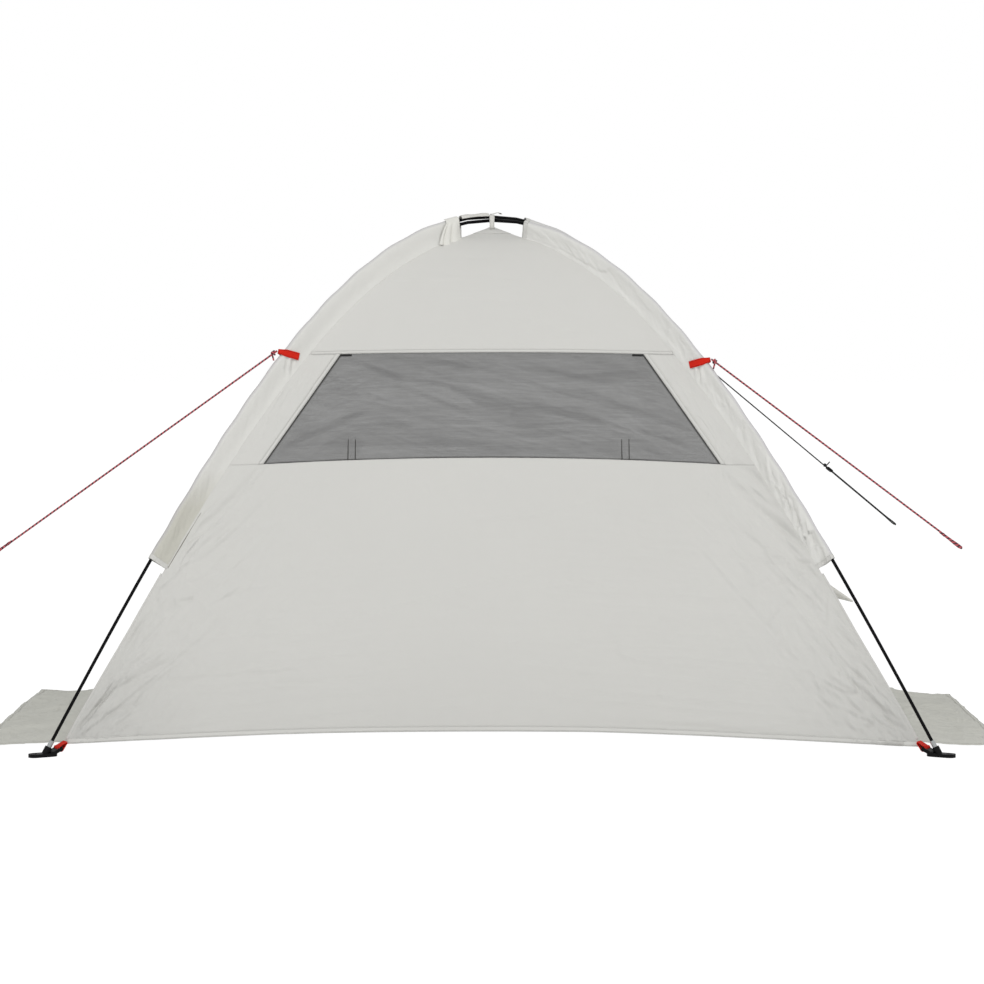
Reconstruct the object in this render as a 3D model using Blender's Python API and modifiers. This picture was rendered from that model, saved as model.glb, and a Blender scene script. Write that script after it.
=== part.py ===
# Beach tent: a cross-vault canopy hung on two crossing shock-corded poles, with a mesh
# window in its rear wall, a sand flap along each side, webbing shoes and guy ropes.
# Metres, +Z up. The rear wall faces -Y and the entrance +Y. The origin is on the ground
# under the crown.

import math

import bmesh
import bpy
import numpy as np
from mathutils import Matrix, Vector

# Frame: where the two pole axes meet the ground and each other
FOOT_HALF_SPAN = 1.01
FOOT_HALF_DEPTH = 0.60
CROWN_HEIGHT = 1.217
ARCH_FULLNESS_SHARE = 0.4
POLE_END_HEIGHT = 0.034
POLE_RADIUS = 0.004
POLE_BORE_RADIUS = 0.002
SEGMENTS_PER_POLE = 5
STEPS_PER_SEGMENT = 10
POLE_SIDES = 8

# Ferrule at the upper end of each segment, a socket for the next one
FERRULE_RADIUS = 0.0049
FERRULE_GRIP = 0.040
SOCKET_DEPTH = 0.040
SOCKET_CLEARANCE = 0.0003

# Shock cord inside each pole
SHOCK_CORD_RADIUS = 0.0015
SHOCK_CORD_END_INSET = 0.004

# Gaps that touching pieces keep
TOUCH_GAP = 0.0003
SEAM_GAP = 0.0005

# Metal tip at each pole end
TIP_RADIUS = 0.0056
TIP_LENGTH = 0.026
TIP_CHAMFER = 0.0014
TIP_SIDES = 12

# Shoe under each tip, lying along the tent's diagonal
SHOE_THICKNESS = 0.008
SHOE_HALF_WIDTH = 0.0145
SHOE_OUTER_REACH = 0.029
SHOE_INNER_REACH = 0.010
EYELET_RADIUS = 0.0066
SOCKET_WALL = 0.0024
BOSS_HEIGHT = 0.010
TONGUE_TILT = math.radians(25)
TONGUE_START = 0.004
TONGUE_LENGTH = 0.032
TONGUE_HALF_WIDTH = 0.0145
SLOT_LENGTH = 0.005
SLOT_HALF_WIDTH = 0.0113
BAR_LENGTH = 0.0065
CUT_OVERRUN = 0.004

# Red webbing loop from the shoe's bar to the canopy's corner
LOOP_HALF_WIDTH = 0.0105
WEBBING_THICKNESS = 0.0012
LOOP_WRAP = math.radians(200)
LOOP_LAYER_GAP = 0.0022

# Canopy
FABRIC_THICKNESS = 0.001
HEM_HEIGHT = 0.030
SEAM_DROP_SHARES = (0.064, 0.20, 0.50, 0.85, 0.95)
CROWN_DROP = 0.034
UPPER_DROP = 0.042
MIDDLE_DROP = 0.045
SLEEVE_DROP = 0.039
CORNER_DROP = 0.031
DIP_SHARE = 0.064
PEAK_DROP = 0.0155
PANEL_TOP_SHARE = 0.018
SEAM_INSET = 0.0014
REAR_SAG = 0.100
REAR_LIFT = 0.0134
SIDE_SAG = 0.040
BROW_SAG = 0.050
BROW_LIFT = 0.035
BROW_SHARE = 0.40

# Window in the rear wall
WINDOW_BOTTOM_HEIGHT = 0.645
WINDOW_TOP_HEIGHT = 0.898
WINDOW_BOTTOM_HALF_WIDTH = 0.530
WINDOW_TOP_HALF_WIDTH = 0.355
MESH_THICKNESS = 0.0008
MESH_MARGIN = 0.012
MESH_GAP = 0.0011
BINDING_WIDTH = 0.018
BINDING_THICKNESS = 0.0008
BINDING_GAP = 0.0009
HOOK_PAD_LENGTH = 0.026
HOOK_PAD_HEIGHT = 0.008
HOOK_PAD_THICKNESS = 0.0007
PANEL_STEP_COUNT = 6
REAR_COLUMNS = 12

# Rolled window cover and its ties, inside under the window
ROLL_RADIUS = 0.017
ROLL_HALF_LENGTH = 0.50
ROLL_DROP = 0.030
ROLL_SIDES = 10
ROLL_STEPS = 16
TIE_PLACES_SHARES = (-0.615, 0.585)
TIE_HALF_WIDTH = 0.011
TIE_THICKNESS = 0.001
TIE_RISE = 0.045
TIE_GAP = 0.0011

# Sleeves round the poles
SLEEVE_START_HEIGHT = 0.435
SLEEVE_END_SHARE = 0.079
SLEEVE_OUTER_RADIUS = 0.0064
SLEEVE_WALL = 0.0007
SLEEVE_TAIL_HALF = 0.0016
SLEEVE_WAIST_SHARE = 0.55
SLEEVE_WAIST_HALF = 0.0032

# Crown
PATCH_SHARE = 0.045
PATCH_LIFT = 0.0006
STRAP_HALF_WIDTH = 0.006
STRAP_HALF_DEPTH = 0.0125
STRAP_THICKNESS = 0.0014
STRAP_BEND_STEPS = 8
TIE_STRIP_START_SHARE = 0.075
TIE_STRIP_END_SHARE = 0.012
TIE_STRIP_RADIUS = 0.0092
TIE_STRIP_SIDES = 6

# Groundsheet
FLOOR_THICKNESS = 0.001
FLOOR_INSET = 0.0015
FLOOR_RIM_SHARE = 0.93
FLOOR_REAR_RIM_SHARE = 0.41
FLOOR_DROP_BELOW_HEM = 0.0008
SILL_HEIGHT = 0.012
FLOOR_ROWS = 4

# Sand flaps
FLAP_WIDTH = 0.222
FLAP_THICKNESS = 0.0012
FLAP_REAR_INSET = 0.065
FLAP_REAR_TAPER = 0.135
FLAP_FRONT_INSET = 0.045
FLAP_FRONT_TAPER = 0.020
FLAP_EDGE_HEIGHT = 0.0296
FLAP_GROUND_GAP = 0.0003
FLAP_COLUMNS = 6
FLAP_ROWS = 5

# Guy tabs on the sleeves
TAB_PLACES_SHARES = {
    "rear_left": 0.478,
    "rear_right": 0.488,
    "front_left": 0.515,
    "front_right": 0.515,
}
TAB_RISE = math.radians(14)
TAB_INNER_REACH = 0.036
TAB_SHOULDER = 0.012
TAB_EYE_START = 0.0090
TAB_EYE_CURVE = 0.0150
TAB_OUTER_REACH = 0.0175
TAB_INNER_HALF_GAP = 0.0042
TAB_HALF_GAP = 0.0069
TAB_EYE_HALF_GAP = 0.0045
TAB_INNER_HALF_WIDTH = 0.011
TAB_OUTER_HALF_WIDTH = 0.007

# Guy ropes. A route is (distance from the tab, offset to the side) along a straight line
RED_ROPE_RADIUS = 0.002
BLACK_ROPE_RADIUS = 0.00175
ROPE_STEP = 0.025
REAR_LEFT_ROPE_END = (-1.125, -0.610, 0.452)
REAR_RIGHT_ROPE_END = (1.055, -0.600, 0.471)
FRONT_RIGHT_ROPE_END = (1.042, 0.540, 0.444)
RED_LOOP_TABLE = (
    (-0.0700, 0.0), (-0.0500, 0.0), (-0.0300, 0.0018), (-0.0140, 0.0050),
    (-0.0030, 0.0040), (0.0, -0.0035), (-0.0050, -0.0100), (-0.0160, -0.0100),
    (-0.0310, -0.0064), (-0.0500, -0.0048), (-0.0620, -0.0048),
)
BLACK_LOOP_TABLE = (
    (-0.0700, 0.0), (-0.0500, 0.0), (-0.0300, 0.0012), (-0.0130, 0.0038),
    (-0.0030, 0.0030), (0.0, -0.0035), (-0.0045, -0.0090), (-0.0150, -0.0090),
    (-0.0310, -0.0060), (-0.0500, -0.0048), (-0.0700, -0.0048),
)
TENSIONER_REACH = 0.245
TENSIONER_LENGTH = 0.017
TENSIONER_HALF_WIDTH = 0.0062
TENSIONER_HALF_THICKNESS = 0.0032
TENSIONER_ROUNDING = 0.0012
BLACK_STRAND_SPACING = 0.0048
ROPE_TAIL = 0.014
BORE_CLEARANCE = 0.0004

# Small side tab on the right wall
SIDE_TAB_ROOT_HEIGHTS = (0.338, 0.395)
SIDE_TAB_ROOT_DEPTH = -0.300
SIDE_TAB_TIP = (0.842, -0.310, 0.322)
SIDE_TAB_TIP_SIZE = 0.004

# Colours: red, green, blue, roughness, metallic
FINISHES = {
    "canopy_fabric": (0.63, 0.63, 0.60, 0.75, 0.0),
    "flap_fabric": (0.48, 0.48, 0.43, 0.80, 0.0),
    "mesh_fabric": (0.25, 0.25, 0.24, 0.85, 0.0),
    "cream_webbing": (0.68, 0.66, 0.60, 0.80, 0.0),
    "red_webbing": (0.62, 0.03, 0.02, 0.70, 0.0),
    "red_cord": (0.55, 0.04, 0.03, 0.70, 0.0),
    "black_cord": (0.02, 0.02, 0.02, 0.70, 0.0),
    "black_glass_fibre": (0.02, 0.02, 0.02, 0.40, 0.0),
    "black_plastic": (0.02, 0.02, 0.02, 0.45, 0.0),
    "tip_metal": (0.55, 0.55, 0.56, 0.35, 1.0),
    "shock_elastic": (0.70, 0.70, 0.70, 0.80, 0.0),
    "floor_sheet": (0.42, 0.42, 0.40, 0.70, 0.0),
}

CORNERS = {
    "rear_left": (-1, -1),
    "rear_right": (1, -1),
    "front_left": (-1, 1),
    "front_right": (1, 1),
}
DIAGONAL = math.hypot(FOOT_HALF_SPAN, FOOT_HALF_DEPTH)
POLE_SPACING = 2 * POLE_RADIUS + TOUCH_GAP
UP = np.array([0.0, 0.0, 1.0])


# Scene helpers
def clear_scene():
    for item in list(bpy.data.objects):
        bpy.data.objects.remove(item)


def new_collection(name):
    made = bpy.data.collections.new(name)
    bpy.context.scene.collection.children.link(made)
    return made


def new_material(name, red, green, blue, roughness, metallic):
    material = bpy.data.materials.new(name)
    material.use_nodes = True
    shader = material.node_tree.nodes["Principled BSDF"]
    shader.inputs["Base Color"].default_value = (red, green, blue, 1.0)
    shader.inputs["Roughness"].default_value = roughness
    shader.inputs["Metallic"].default_value = metallic
    return material


def add_object(name, data, finish):
    data.materials.append(MATERIALS[finish])
    made = bpy.data.objects.new(name, data)
    TENT.objects.link(made)
    return made


def mesh_of(name, vertices, faces, closed=True):
    mesh = bpy.data.meshes.new(name)
    mesh.from_pydata([tuple(map(float, v)) for v in vertices], [], faces)
    if closed:
        made = bmesh.new()
        made.from_mesh(mesh)
        bmesh.ops.recalc_face_normals(made, faces=made.faces)
        made.to_mesh(mesh)
        made.free()
    return mesh


def unit(vector):
    return vector / np.linalg.norm(vector)


# A grid of points as a sheet of cloth. Columns cross rows with the outer side facing out.
def sheet(name, grid, thickness, finish, outward=False, closed_rows=False):
    rows, columns = grid.shape[:2]
    faces = []
    for row in range(rows if closed_rows else rows - 1):
        for column in range(columns - 1):
            low = row * columns + column
            high = ((row + 1) % rows) * columns + column
            faces.append((low, low + 1, high + 1, high))
    return cloth(name, grid.reshape(-1, 3), faces, thickness, finish, outward)


# Faces given one by one as a sheet of cloth
def cloth(name, vertices, faces, thickness, finish, outward=False):
    made = add_object(name, mesh_of(name, vertices, faces, closed=False), finish)
    wall = made.modifiers.new("cloth thickness", "SOLIDIFY")
    wall.thickness = thickness
    wall.offset = 1.0 if outward else -1.0
    return made


# Rings of equal count joined one after another, closed into a hollow tube
def ring_loop(name, rings, finish):
    count, sides = len(rings), len(rings[0])
    faces = []
    for ring in range(count):
        after = (ring + 1) % count
        for side in range(sides):
            beside = (side + 1) % sides
            faces.append((ring * sides + side, ring * sides + beside,
                          after * sides + beside, after * sides + side))
    mesh = mesh_of(name, np.concatenate(rings), faces)
    made = add_object(name, mesh, finish)
    mesh.shade_smooth()
    mesh.set_sharp_from_angle(angle=math.radians(40))
    return made


# Rings of equal count joined one after another, with both ends capped
def capped_sweep(name, rings, finish):
    count, sides = len(rings), len(rings[0])
    faces = [tuple(range(sides)), tuple(range((count - 1) * sides, count * sides))]
    for ring in range(count - 1):
        for side in range(sides):
            beside = (side + 1) % sides
            faces.append((ring * sides + side, ring * sides + beside,
                          (ring + 1) * sides + beside, (ring + 1) * sides + side))
    return add_object(name, mesh_of(name, np.concatenate(rings), faces), finish)


# A round cord or rod along a line of points
def cord(name, points, radius, finish):
    curve = bpy.data.curves.new(name, "CURVE")
    curve.dimensions = "3D"
    curve.bevel_depth = radius
    curve.bevel_resolution = 2
    curve.use_fill_caps = True
    spline = curve.splines.new("POLY")
    spline.points.add(len(points) - 1)
    for target, point in zip(spline.points, points):
        target.co = (*map(float, point), 1.0)
    return add_object(name, curve, finish)


# Points moved along the grid's own normals, out of the cloth or into it
def offset_grid(grid, distance):
    across = np.gradient(grid, axis=1)
    along = np.gradient(grid, axis=0)
    normal = np.cross(across, along)
    return grid + distance * normal / np.linalg.norm(normal, axis=2, keepdims=True)


# A smooth curve through the given points, with points about one step apart
def smooth_route(points, step):
    points = np.array(points, float)
    ends = np.concatenate([[2 * points[0] - points[1]], points,
                           [2 * points[-1] - points[-2]]])
    made = []
    for i in range(len(points) - 1):
        before, start, end, after = ends[i:i + 4]
        count = max(1, round(np.linalg.norm(end - start) / step))
        for share in np.arange(count) / count:
            bend = (2 * before - 5 * start + 4 * end - after) * share ** 2
            twist = (3 * start - before - 3 * end + after) * share ** 3
            made.append(start + ((end - before) * share + bend + twist) / 2)
    made.append(points[-1])
    return np.array(made)


# Pole geometry
def arch_height(share, crown):
    return crown * (1 - share ** (2 - ARCH_FULLNESS_SHARE * share))


# One pole as a line of points with equal steps, and its outward normals
class PoleLine:
    def __init__(self, corner, crown):
        side_x, side_y = CORNERS[corner]
        fine = np.linspace(-1, 1, 4001)
        height = arch_height(np.abs(fine), crown)
        kept = height >= POLE_END_HEIGHT
        run = fine[kept] * DIAGONAL
        points = np.stack([run, height[kept]], axis=1)
        length = np.concatenate([[0], np.cumsum(np.hypot(*np.diff(points, axis=0).T))])
        self.length = length[-1]
        count = SEGMENTS_PER_POLE * STEPS_PER_SEGMENT
        self.places = np.linspace(0, self.length, count + 1)
        self.run = np.interp(self.places, length, run)
        self.height = np.interp(self.places, length, height[kept])
        slope = np.stack([np.gradient(self.run), np.gradient(self.height)], axis=1)
        slope /= np.linalg.norm(slope, axis=1, keepdims=True)
        self.heading = unit(np.array([-side_x * FOOT_HALF_SPAN, -side_y * FOOT_HALF_DEPTH, 0]))
        self.side = np.cross(self.heading, UP)
        self.slope = slope

    def at(self, place):
        run = np.interp(place, self.places, self.run)
        height = np.interp(place, self.places, self.height)
        ahead = np.interp(place, self.places, self.slope[:, 0])
        rise = np.interp(place, self.places, self.slope[:, 1])
        centre = run * self.heading + height * UP
        return centre, ahead * UP - rise * self.heading, ahead * self.heading + rise * UP

    def between(self, start, end):
        inner = self.places[(self.places > start + TOUCH_GAP) & (self.places < end - TOUCH_GAP)]
        return np.concatenate([[start], inner, [end]])

    def place_at_run(self, run):
        return np.interp(run, self.run, self.places)

    def place_at_height(self, height):
        half = len(self.height) // 2
        return np.interp(height, self.height[:half], self.places[:half])

    def ring(self, place, radius, sides=POLE_SIDES):
        centre, out, _ = self.at(place)
        turn = 2 * math.pi * np.arange(sides) / sides
        return centre + radius * (np.outer(np.cos(turn), out) + np.outer(np.sin(turn), self.side))


# Pole segments, each a tube whose upper end carries the next one's socket
def build_pole(letter, line):
    reach = line.length / SEGMENTS_PER_POLE
    for number in range(SEGMENTS_PER_POLE):
        start = number * reach + (TOUCH_GAP if number else 0)
        end = (number + 1) * reach
        last = number == SEGMENTS_PER_POLE - 1
        grip = end if last else end - FERRULE_GRIP
        rings = [line.ring(place, POLE_RADIUS) for place in line.between(start, grip)]
        if not last:
            mouth = end + SOCKET_DEPTH
            bore = POLE_RADIUS + SOCKET_CLEARANCE
            rings += [line.ring(place, FERRULE_RADIUS) for place in line.between(grip, mouth)]
            rings += [line.ring(place, bore) for place in line.between(end, mouth)[::-1]]
        rings += [line.ring(place, POLE_BORE_RADIUS) for place in line.between(start, end)[::-1]]
        ring_loop(f"pole_{letter}_segment_{number + 1}", rings, "black_glass_fibre")
    inside = line.between(SHOCK_CORD_END_INSET, line.length - SHOCK_CORD_END_INSET)
    rings = [line.ring(place, SHOCK_CORD_RADIUS, POLE_SIDES // 2 + 2) for place in inside]
    capped_sweep(f"shock_cord_{letter}", rings, "shock_elastic")


# Canopy seam: where two panels meet under a pole, as shares of the foot rectangle
def seam_profile():
    line = PoleLine("rear_left", CROWN_HEIGHT)
    half = len(line.places) // 2 + 1
    pole_share = -line.run[:half] / DIAGONAL
    drops = (CROWN_DROP, UPPER_DROP, MIDDLE_DROP, SLEEVE_DROP, CORNER_DROP)
    drop = np.interp(pole_share, SEAM_DROP_SHARES, drops)
    ahead, rise = line.slope[:half].T
    share = pole_share - drop * rise / DIAGONAL
    height = line.height[:half] - drop * ahead
    kept = share > DIP_SHARE
    share, height = share[kept][::-1], height[kept][::-1]
    dip = height[0]
    share = np.concatenate([[0.0, DIP_SHARE], share])
    height = np.concatenate([[CROWN_HEIGHT - PEAK_DROP, dip], height])
    return share, height


def seam_height(share):
    return np.interp(share, SEAM_SHARES, SEAM_HEIGHTS)


def share_at_height(height):
    falling = SEAM_SHARES >= DIP_SHARE
    return float(np.interp(-height, -SEAM_HEIGHTS[falling], SEAM_SHARES[falling]))


# Points of the three kinds of wall; across and share may be arrays
def rear_point(across, share):
    bow = max(0.0, share - DIP_SHARE) * (1 - across ** 2)
    return np.stack([across * share * FOOT_HALF_SPAN,
                     -share * FOOT_HALF_DEPTH + REAR_SAG * bow,
                     seam_height(share) + REAR_LIFT * bow], axis=-1)


def side_point(along, share, side):
    rise = min(1.0, (HEM_SHARE - share) / (HEM_SHARE - DIP_SHARE))
    sag = 4 * SIDE_SAG * rise * (1 - rise) * (1 - along ** 2)
    return np.stack([side * (share * FOOT_HALF_SPAN - sag),
                     along * share * FOOT_HALF_DEPTH + 0 * sag,
                     seam_height(share) + 0 * sag], axis=-1)


def front_point(across, share):
    bow = max(0.0, share - DIP_SHARE) * (1 - across ** 2)
    return np.stack([across * share * FOOT_HALF_SPAN,
                     share * FOOT_HALF_DEPTH - BROW_SAG * bow,
                     seam_height(share) + BROW_LIFT * bow], axis=-1)


# Rear wall at a real distance from the middle
def rear_at(x, share):
    return rear_point(x / (share * FOOT_HALF_SPAN), share)


def window_half_width(share):
    height = seam_height(share)
    rise = (height - WINDOW_BOTTOM_HEIGHT) / (WINDOW_TOP_HEIGHT - WINDOW_BOTTOM_HEIGHT)
    return WINDOW_BOTTOM_HALF_WIDTH + rise * (WINDOW_TOP_HALF_WIDTH - WINDOW_BOTTOM_HALF_WIDTH)


# Row shares from a low edge up, with one row on the crown's dip when they pass it
def row_shares(share_low, share_high, rows):
    if share_high < DIP_SHARE:
        return np.append(np.linspace(share_low, DIP_SHARE, rows), share_high)
    return np.linspace(share_low, share_high, rows + 1)


# Rows of a rear panel between two shares, from one width function to another
def rear_grid(share_low, share_high, left, right, rows, columns):
    shares = row_shares(share_low, share_high, rows)
    steps = np.linspace(0, 1, columns + 1)
    grid = []
    for share in shares:
        x = left(share) + steps * (right(share) - left(share))
        grid.append(rear_at(x, share))
    return np.array(grid)


def seam_x(share):
    return share * FOOT_HALF_SPAN - SEAM_INSET


def build_rear_wall():
    gap = SEAM_GAP / CROWN_HEIGHT
    panels = {
        "rear_wall_lower": (HEM_SHARE, WINDOW_LOW_SHARE + gap, lambda s: -seam_x(s), seam_x,
                            REAR_COLUMNS),
        "rear_wall_upper": (WINDOW_HIGH_SHARE - gap, PANEL_TOP_SHARE, lambda s: -seam_x(s),
                            seam_x, 10),
        "rear_cheek_left": (WINDOW_LOW_SHARE, WINDOW_HIGH_SHARE, lambda s: -seam_x(s),
                            lambda s: -window_half_width(s), 2),
        "rear_cheek_right": (WINDOW_LOW_SHARE, WINDOW_HIGH_SHARE, window_half_width, seam_x, 2),
    }
    for name, (low, high, left, right, columns) in panels.items():
        grid = rear_grid(low, high, left, right, PANEL_STEP_COUNT, columns)
        sheet(name, grid, FABRIC_THICKNESS, "canopy_fabric")


def build_window():
    reach = MESH_MARGIN / CROWN_HEIGHT
    grid = rear_grid(WINDOW_LOW_SHARE + reach, WINDOW_HIGH_SHARE - reach,
                     lambda s: -window_half_width(s) - MESH_MARGIN,
                     lambda s: window_half_width(s) + MESH_MARGIN, PANEL_STEP_COUNT, 12)
    behind = offset_grid(grid, -FABRIC_THICKNESS - MESH_GAP)
    sheet("window_mesh", behind, MESH_THICKNESS, "mesh_fabric")
    sheet("window_binding", binding_grid(), BINDING_THICKNESS, "canopy_fabric", outward=True)
    for name, side in (("left", -1), ("right", 1)):
        low = share_at_height(WINDOW_TOP_HEIGHT - HOOK_PAD_HEIGHT)
        inner = WINDOW_HIGH_SHARE + SEAM_GAP / CROWN_HEIGHT
        edge = sorted([side * (WINDOW_TOP_HALF_WIDTH - SEAM_GAP),
                       side * (WINDOW_TOP_HALF_WIDTH - HOOK_PAD_LENGTH)])
        pad = rear_grid(low, inner, lambda s: edge[0], lambda s: edge[1], 1, 3)
        sheet(f"hook_pad_{name}", pad, HOOK_PAD_THICKNESS, "black_plastic")


# Binding up one slanted side of the window, across its top and down the other
def binding_grid():
    shares = np.linspace(WINDOW_LOW_SHARE, WINDOW_HIGH_SHARE, PANEL_STEP_COUNT + 1)
    top = share_at_height(WINDOW_TOP_HEIGHT + BINDING_WIDTH)
    rows = []
    for share in shares[:-1]:
        inner = -window_half_width(share)
        rows.append([rear_at(inner - BINDING_WIDTH, share), rear_at(inner, share)])
    corner = [rear_at(-WINDOW_TOP_HALF_WIDTH - BINDING_WIDTH, top),
              rear_at(-WINDOW_TOP_HALF_WIDTH, WINDOW_HIGH_SHARE)]
    rows.append(corner)
    for step in np.linspace(-1, 1, 9)[1:-1]:
        rows.append([rear_at(step * (WINDOW_TOP_HALF_WIDTH + BINDING_WIDTH), top),
                     rear_at(step * WINDOW_TOP_HALF_WIDTH, WINDOW_HIGH_SHARE)])
    mirror = np.array([-1.0, 1.0, 1.0])
    left = [np.array(row) for row in rows[:PANEL_STEP_COUNT + 1]]
    rows = [np.array(row) for row in rows] + [row * mirror for row in left[::-1]]
    grid = np.array(rows)
    middle = grid.mean(axis=1)
    run = np.gradient(middle, axis=0)
    width = grid[:, 1] - grid[:, 0]
    normal = np.cross(width, run)
    normal /= np.linalg.norm(normal, axis=1, keepdims=True)
    return grid + BINDING_GAP * normal[:, None]


# Frame of a point on the inside of the rear wall: up the cloth, into the tent
def wall_frame(x, share):
    step = SEAM_GAP
    here = rear_at(x, share)
    across = rear_at(x + step, share) - here
    up = unit(rear_at(x, share - step) - here)
    inward = unit(np.cross(up, across))
    return here, up, inward


def build_cover():
    share = share_at_height(WINDOW_BOTTOM_HEIGHT - ROLL_DROP)
    lining = FABRIC_THICKNESS + MESH_GAP + MESH_THICKNESS + TIE_THICKNESS
    depth = lining + 2 * TIE_GAP + ROLL_RADIUS
    rings = []
    turn = 2 * math.pi * np.arange(ROLL_SIDES) / ROLL_SIDES
    for x in np.linspace(-ROLL_HALF_LENGTH, ROLL_HALF_LENGTH, ROLL_STEPS + 1):
        here, up, inward = wall_frame(x, share)
        circle = np.outer(np.cos(turn), up) + np.outer(np.sin(turn), inward)
        rings.append(here + depth * inward + ROLL_RADIUS * circle)
    capped_sweep("window_cover_roll", rings, "canopy_fabric")
    for name, place in zip(("left", "right"), TIE_PLACES_SHARES):
        x = place * WINDOW_BOTTOM_HALF_WIDTH
        here, up, inward = wall_frame(x, share)
        across = np.cross(up, inward)
        centre = here + depth * inward
        above, _, into = wall_frame(x, share_at_height(WINDOW_BOTTOM_HEIGHT + TIE_RISE))
        apex = above + (lining + TIE_THICKNESS + SEAM_GAP) * into
        radius = ROLL_RADIUS + TIE_GAP
        reach = apex - centre
        towards = math.atan2(float(reach @ inward), float(reach @ up))
        half = math.acos(radius / np.linalg.norm(reach))
        path = [centre + radius * (math.cos(a) * up + math.sin(a) * inward)
                for a in np.linspace(towards + half, towards - half + 2 * math.pi, 9)]
        path += [apex - TIE_THICKNESS * inward, apex + TIE_THICKNESS * inward]
        grid = np.array([[point + TIE_HALF_WIDTH * across, point - TIE_HALF_WIDTH * across]
                         for point in path])
        sheet(f"cover_tie_{name}", grid, TIE_THICKNESS, "cream_webbing", outward=True,
              closed_rows=True)


def build_side_walls():
    shares = row_shares(HEM_SHARE, PANEL_TOP_SHARE, 2 * PANEL_STEP_COUNT)
    for name, side in (("left", -1), ("right", 1)):
        rows = []
        for share in shares:
            reach = 1 - SEAM_INSET / (share * FOOT_HALF_DEPTH)
            along = side * np.linspace(-reach, reach, 7)
            rows.append(side_point(along, share, side))
        sheet(f"side_wall_{name}", np.array(rows), FABRIC_THICKNESS, "canopy_fabric")


def build_brow():
    rows = []
    for share in row_shares(BROW_SHARE, PANEL_TOP_SHARE, PANEL_STEP_COUNT + 1):
        reach = 1 - SEAM_INSET / (share * FOOT_HALF_SPAN)
        rows.append(front_point(np.linspace(reach, -reach, 11), share))
    sheet("front_brow", np.array(rows), FABRIC_THICKNESS, "canopy_fabric")


def build_groundsheet():
    stations = np.linspace(-1, 1, REAR_COLUMNS + 1)
    steps = np.sort(np.concatenate([stations, [-FLOOR_RIM_SHARE, FLOOR_RIM_SHARE]]))
    places = np.linspace(-1, 1, FLOOR_ROWS + 1)[1:-1]
    rows = []
    for v in (-1.0, -FLOOR_REAR_RIM_SHARE, *places[places > -FLOOR_REAR_RIM_SHARE],
              FLOOR_RIM_SHARE, 1.0):
        row = []
        for u in steps:
            bow = (HEM_SHARE - DIP_SHARE) * np.interp(u, stations, 1 - stations ** 2)
            rear = -HEM_SHARE * FOOT_HALF_DEPTH + REAR_SAG * bow + FLOOR_INSET
            front = HEM_SHARE * FOOT_HALF_DEPTH - FLOOR_INSET
            x = u * (HEM_SHARE * FOOT_HALF_SPAN - FLOOR_INSET)
            y = rear + (v + 1) / 2 * (front - rear)
            rim = HEM_HEIGHT - FLOOR_DROP_BELOW_HEM
            if v == -1.0:
                z = rim + REAR_LIFT * bow
            elif abs(u) == 1.0:
                z = rim
            else:
                z = SILL_HEIGHT if v == 1.0 else 0.0
            row.append((x, y, z))
        rows.append(row)
    sheet("groundsheet", np.array(rows), FLOOR_THICKNESS, "floor_sheet", outward=True)


# Sand flap: hinged at the side hem, sloping to the ground, object origin on the hinge
def build_flaps():
    hinge_x = HEM_SHARE * FOOT_HALF_SPAN + SEAM_GAP
    fall = FLAP_EDGE_HEIGHT - FLAP_THICKNESS - FLAP_GROUND_GAP
    for name, side in (("left", -1), ("right", 1)):
        rows = []
        for v in np.linspace(0, 1, FLAP_ROWS + 1):
            row = []
            for w in np.linspace(0, 1, FLAP_COLUMNS + 1):
                rear = FLAP_REAR_INSET + w * FLAP_REAR_TAPER - FOOT_HALF_DEPTH
                front = FOOT_HALF_DEPTH - FLAP_FRONT_INSET - w * FLAP_FRONT_TAPER
                row.append((side * w * FLAP_WIDTH, rear + v * (front - rear),
                            fall * (1 - w) ** 2 - fall))
            rows.append(row[::side])
        flap = sheet(f"sand_flap_{name}", np.array(rows), FLAP_THICKNESS, "flap_fabric")
        flap.location = (side * hinge_x, 0.0, FLAP_EDGE_HEIGHT)


# Sleeve cross-section: round over the pole, then flat down to the seam
def sleeve_ring(line, place, wall):
    centre, out, _ = line.at(place)
    run = abs(float(centre @ line.heading)) / DIAGONAL
    drops = (CROWN_DROP, UPPER_DROP, MIDDLE_DROP, SLEEVE_DROP, CORNER_DROP)
    drop = float(np.interp(run, SEAM_DROP_SHARES, drops))
    above = float(centre @ UP) - arch_height(run, CROWN_HEIGHT)
    tail = drop + above * float(out @ UP) - SEAM_GAP - wall
    head = [((SLEEVE_OUTER_RADIUS - wall) * math.cos(a), (SLEEVE_OUTER_RADIUS - wall) * math.sin(a))
            for a in np.radians((-90, -45, 0, 45, 90))]
    waist = SLEEVE_WAIST_HALF - wall
    end = SLEEVE_TAIL_HALF - wall
    shape = head + [(-SLEEVE_WAIST_SHARE * tail, waist), (-tail, end), (-tail, -end),
                    (-SLEEVE_WAIST_SHARE * tail, -waist)]
    return np.array([centre + n * out + b * line.side for n, b in shape])


def build_sleeves(line, rear_name, front_name):
    low = line.place_at_height(SLEEVE_START_HEIGHT)
    high = line.place_at_run(-SLEEVE_END_SHARE * DIAGONAL)
    for name, start, end in ((rear_name, low, high),
                             (front_name, line.length - high, line.length - low)):
        places = line.between(start, end)
        outer = [sleeve_ring(line, place, 0.0) for place in places]
        inner = [sleeve_ring(line, place, SLEEVE_WALL) for place in places[::-1]]
        ring_loop(f"sleeve_{name}", outer + inner, "canopy_fabric")


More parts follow.
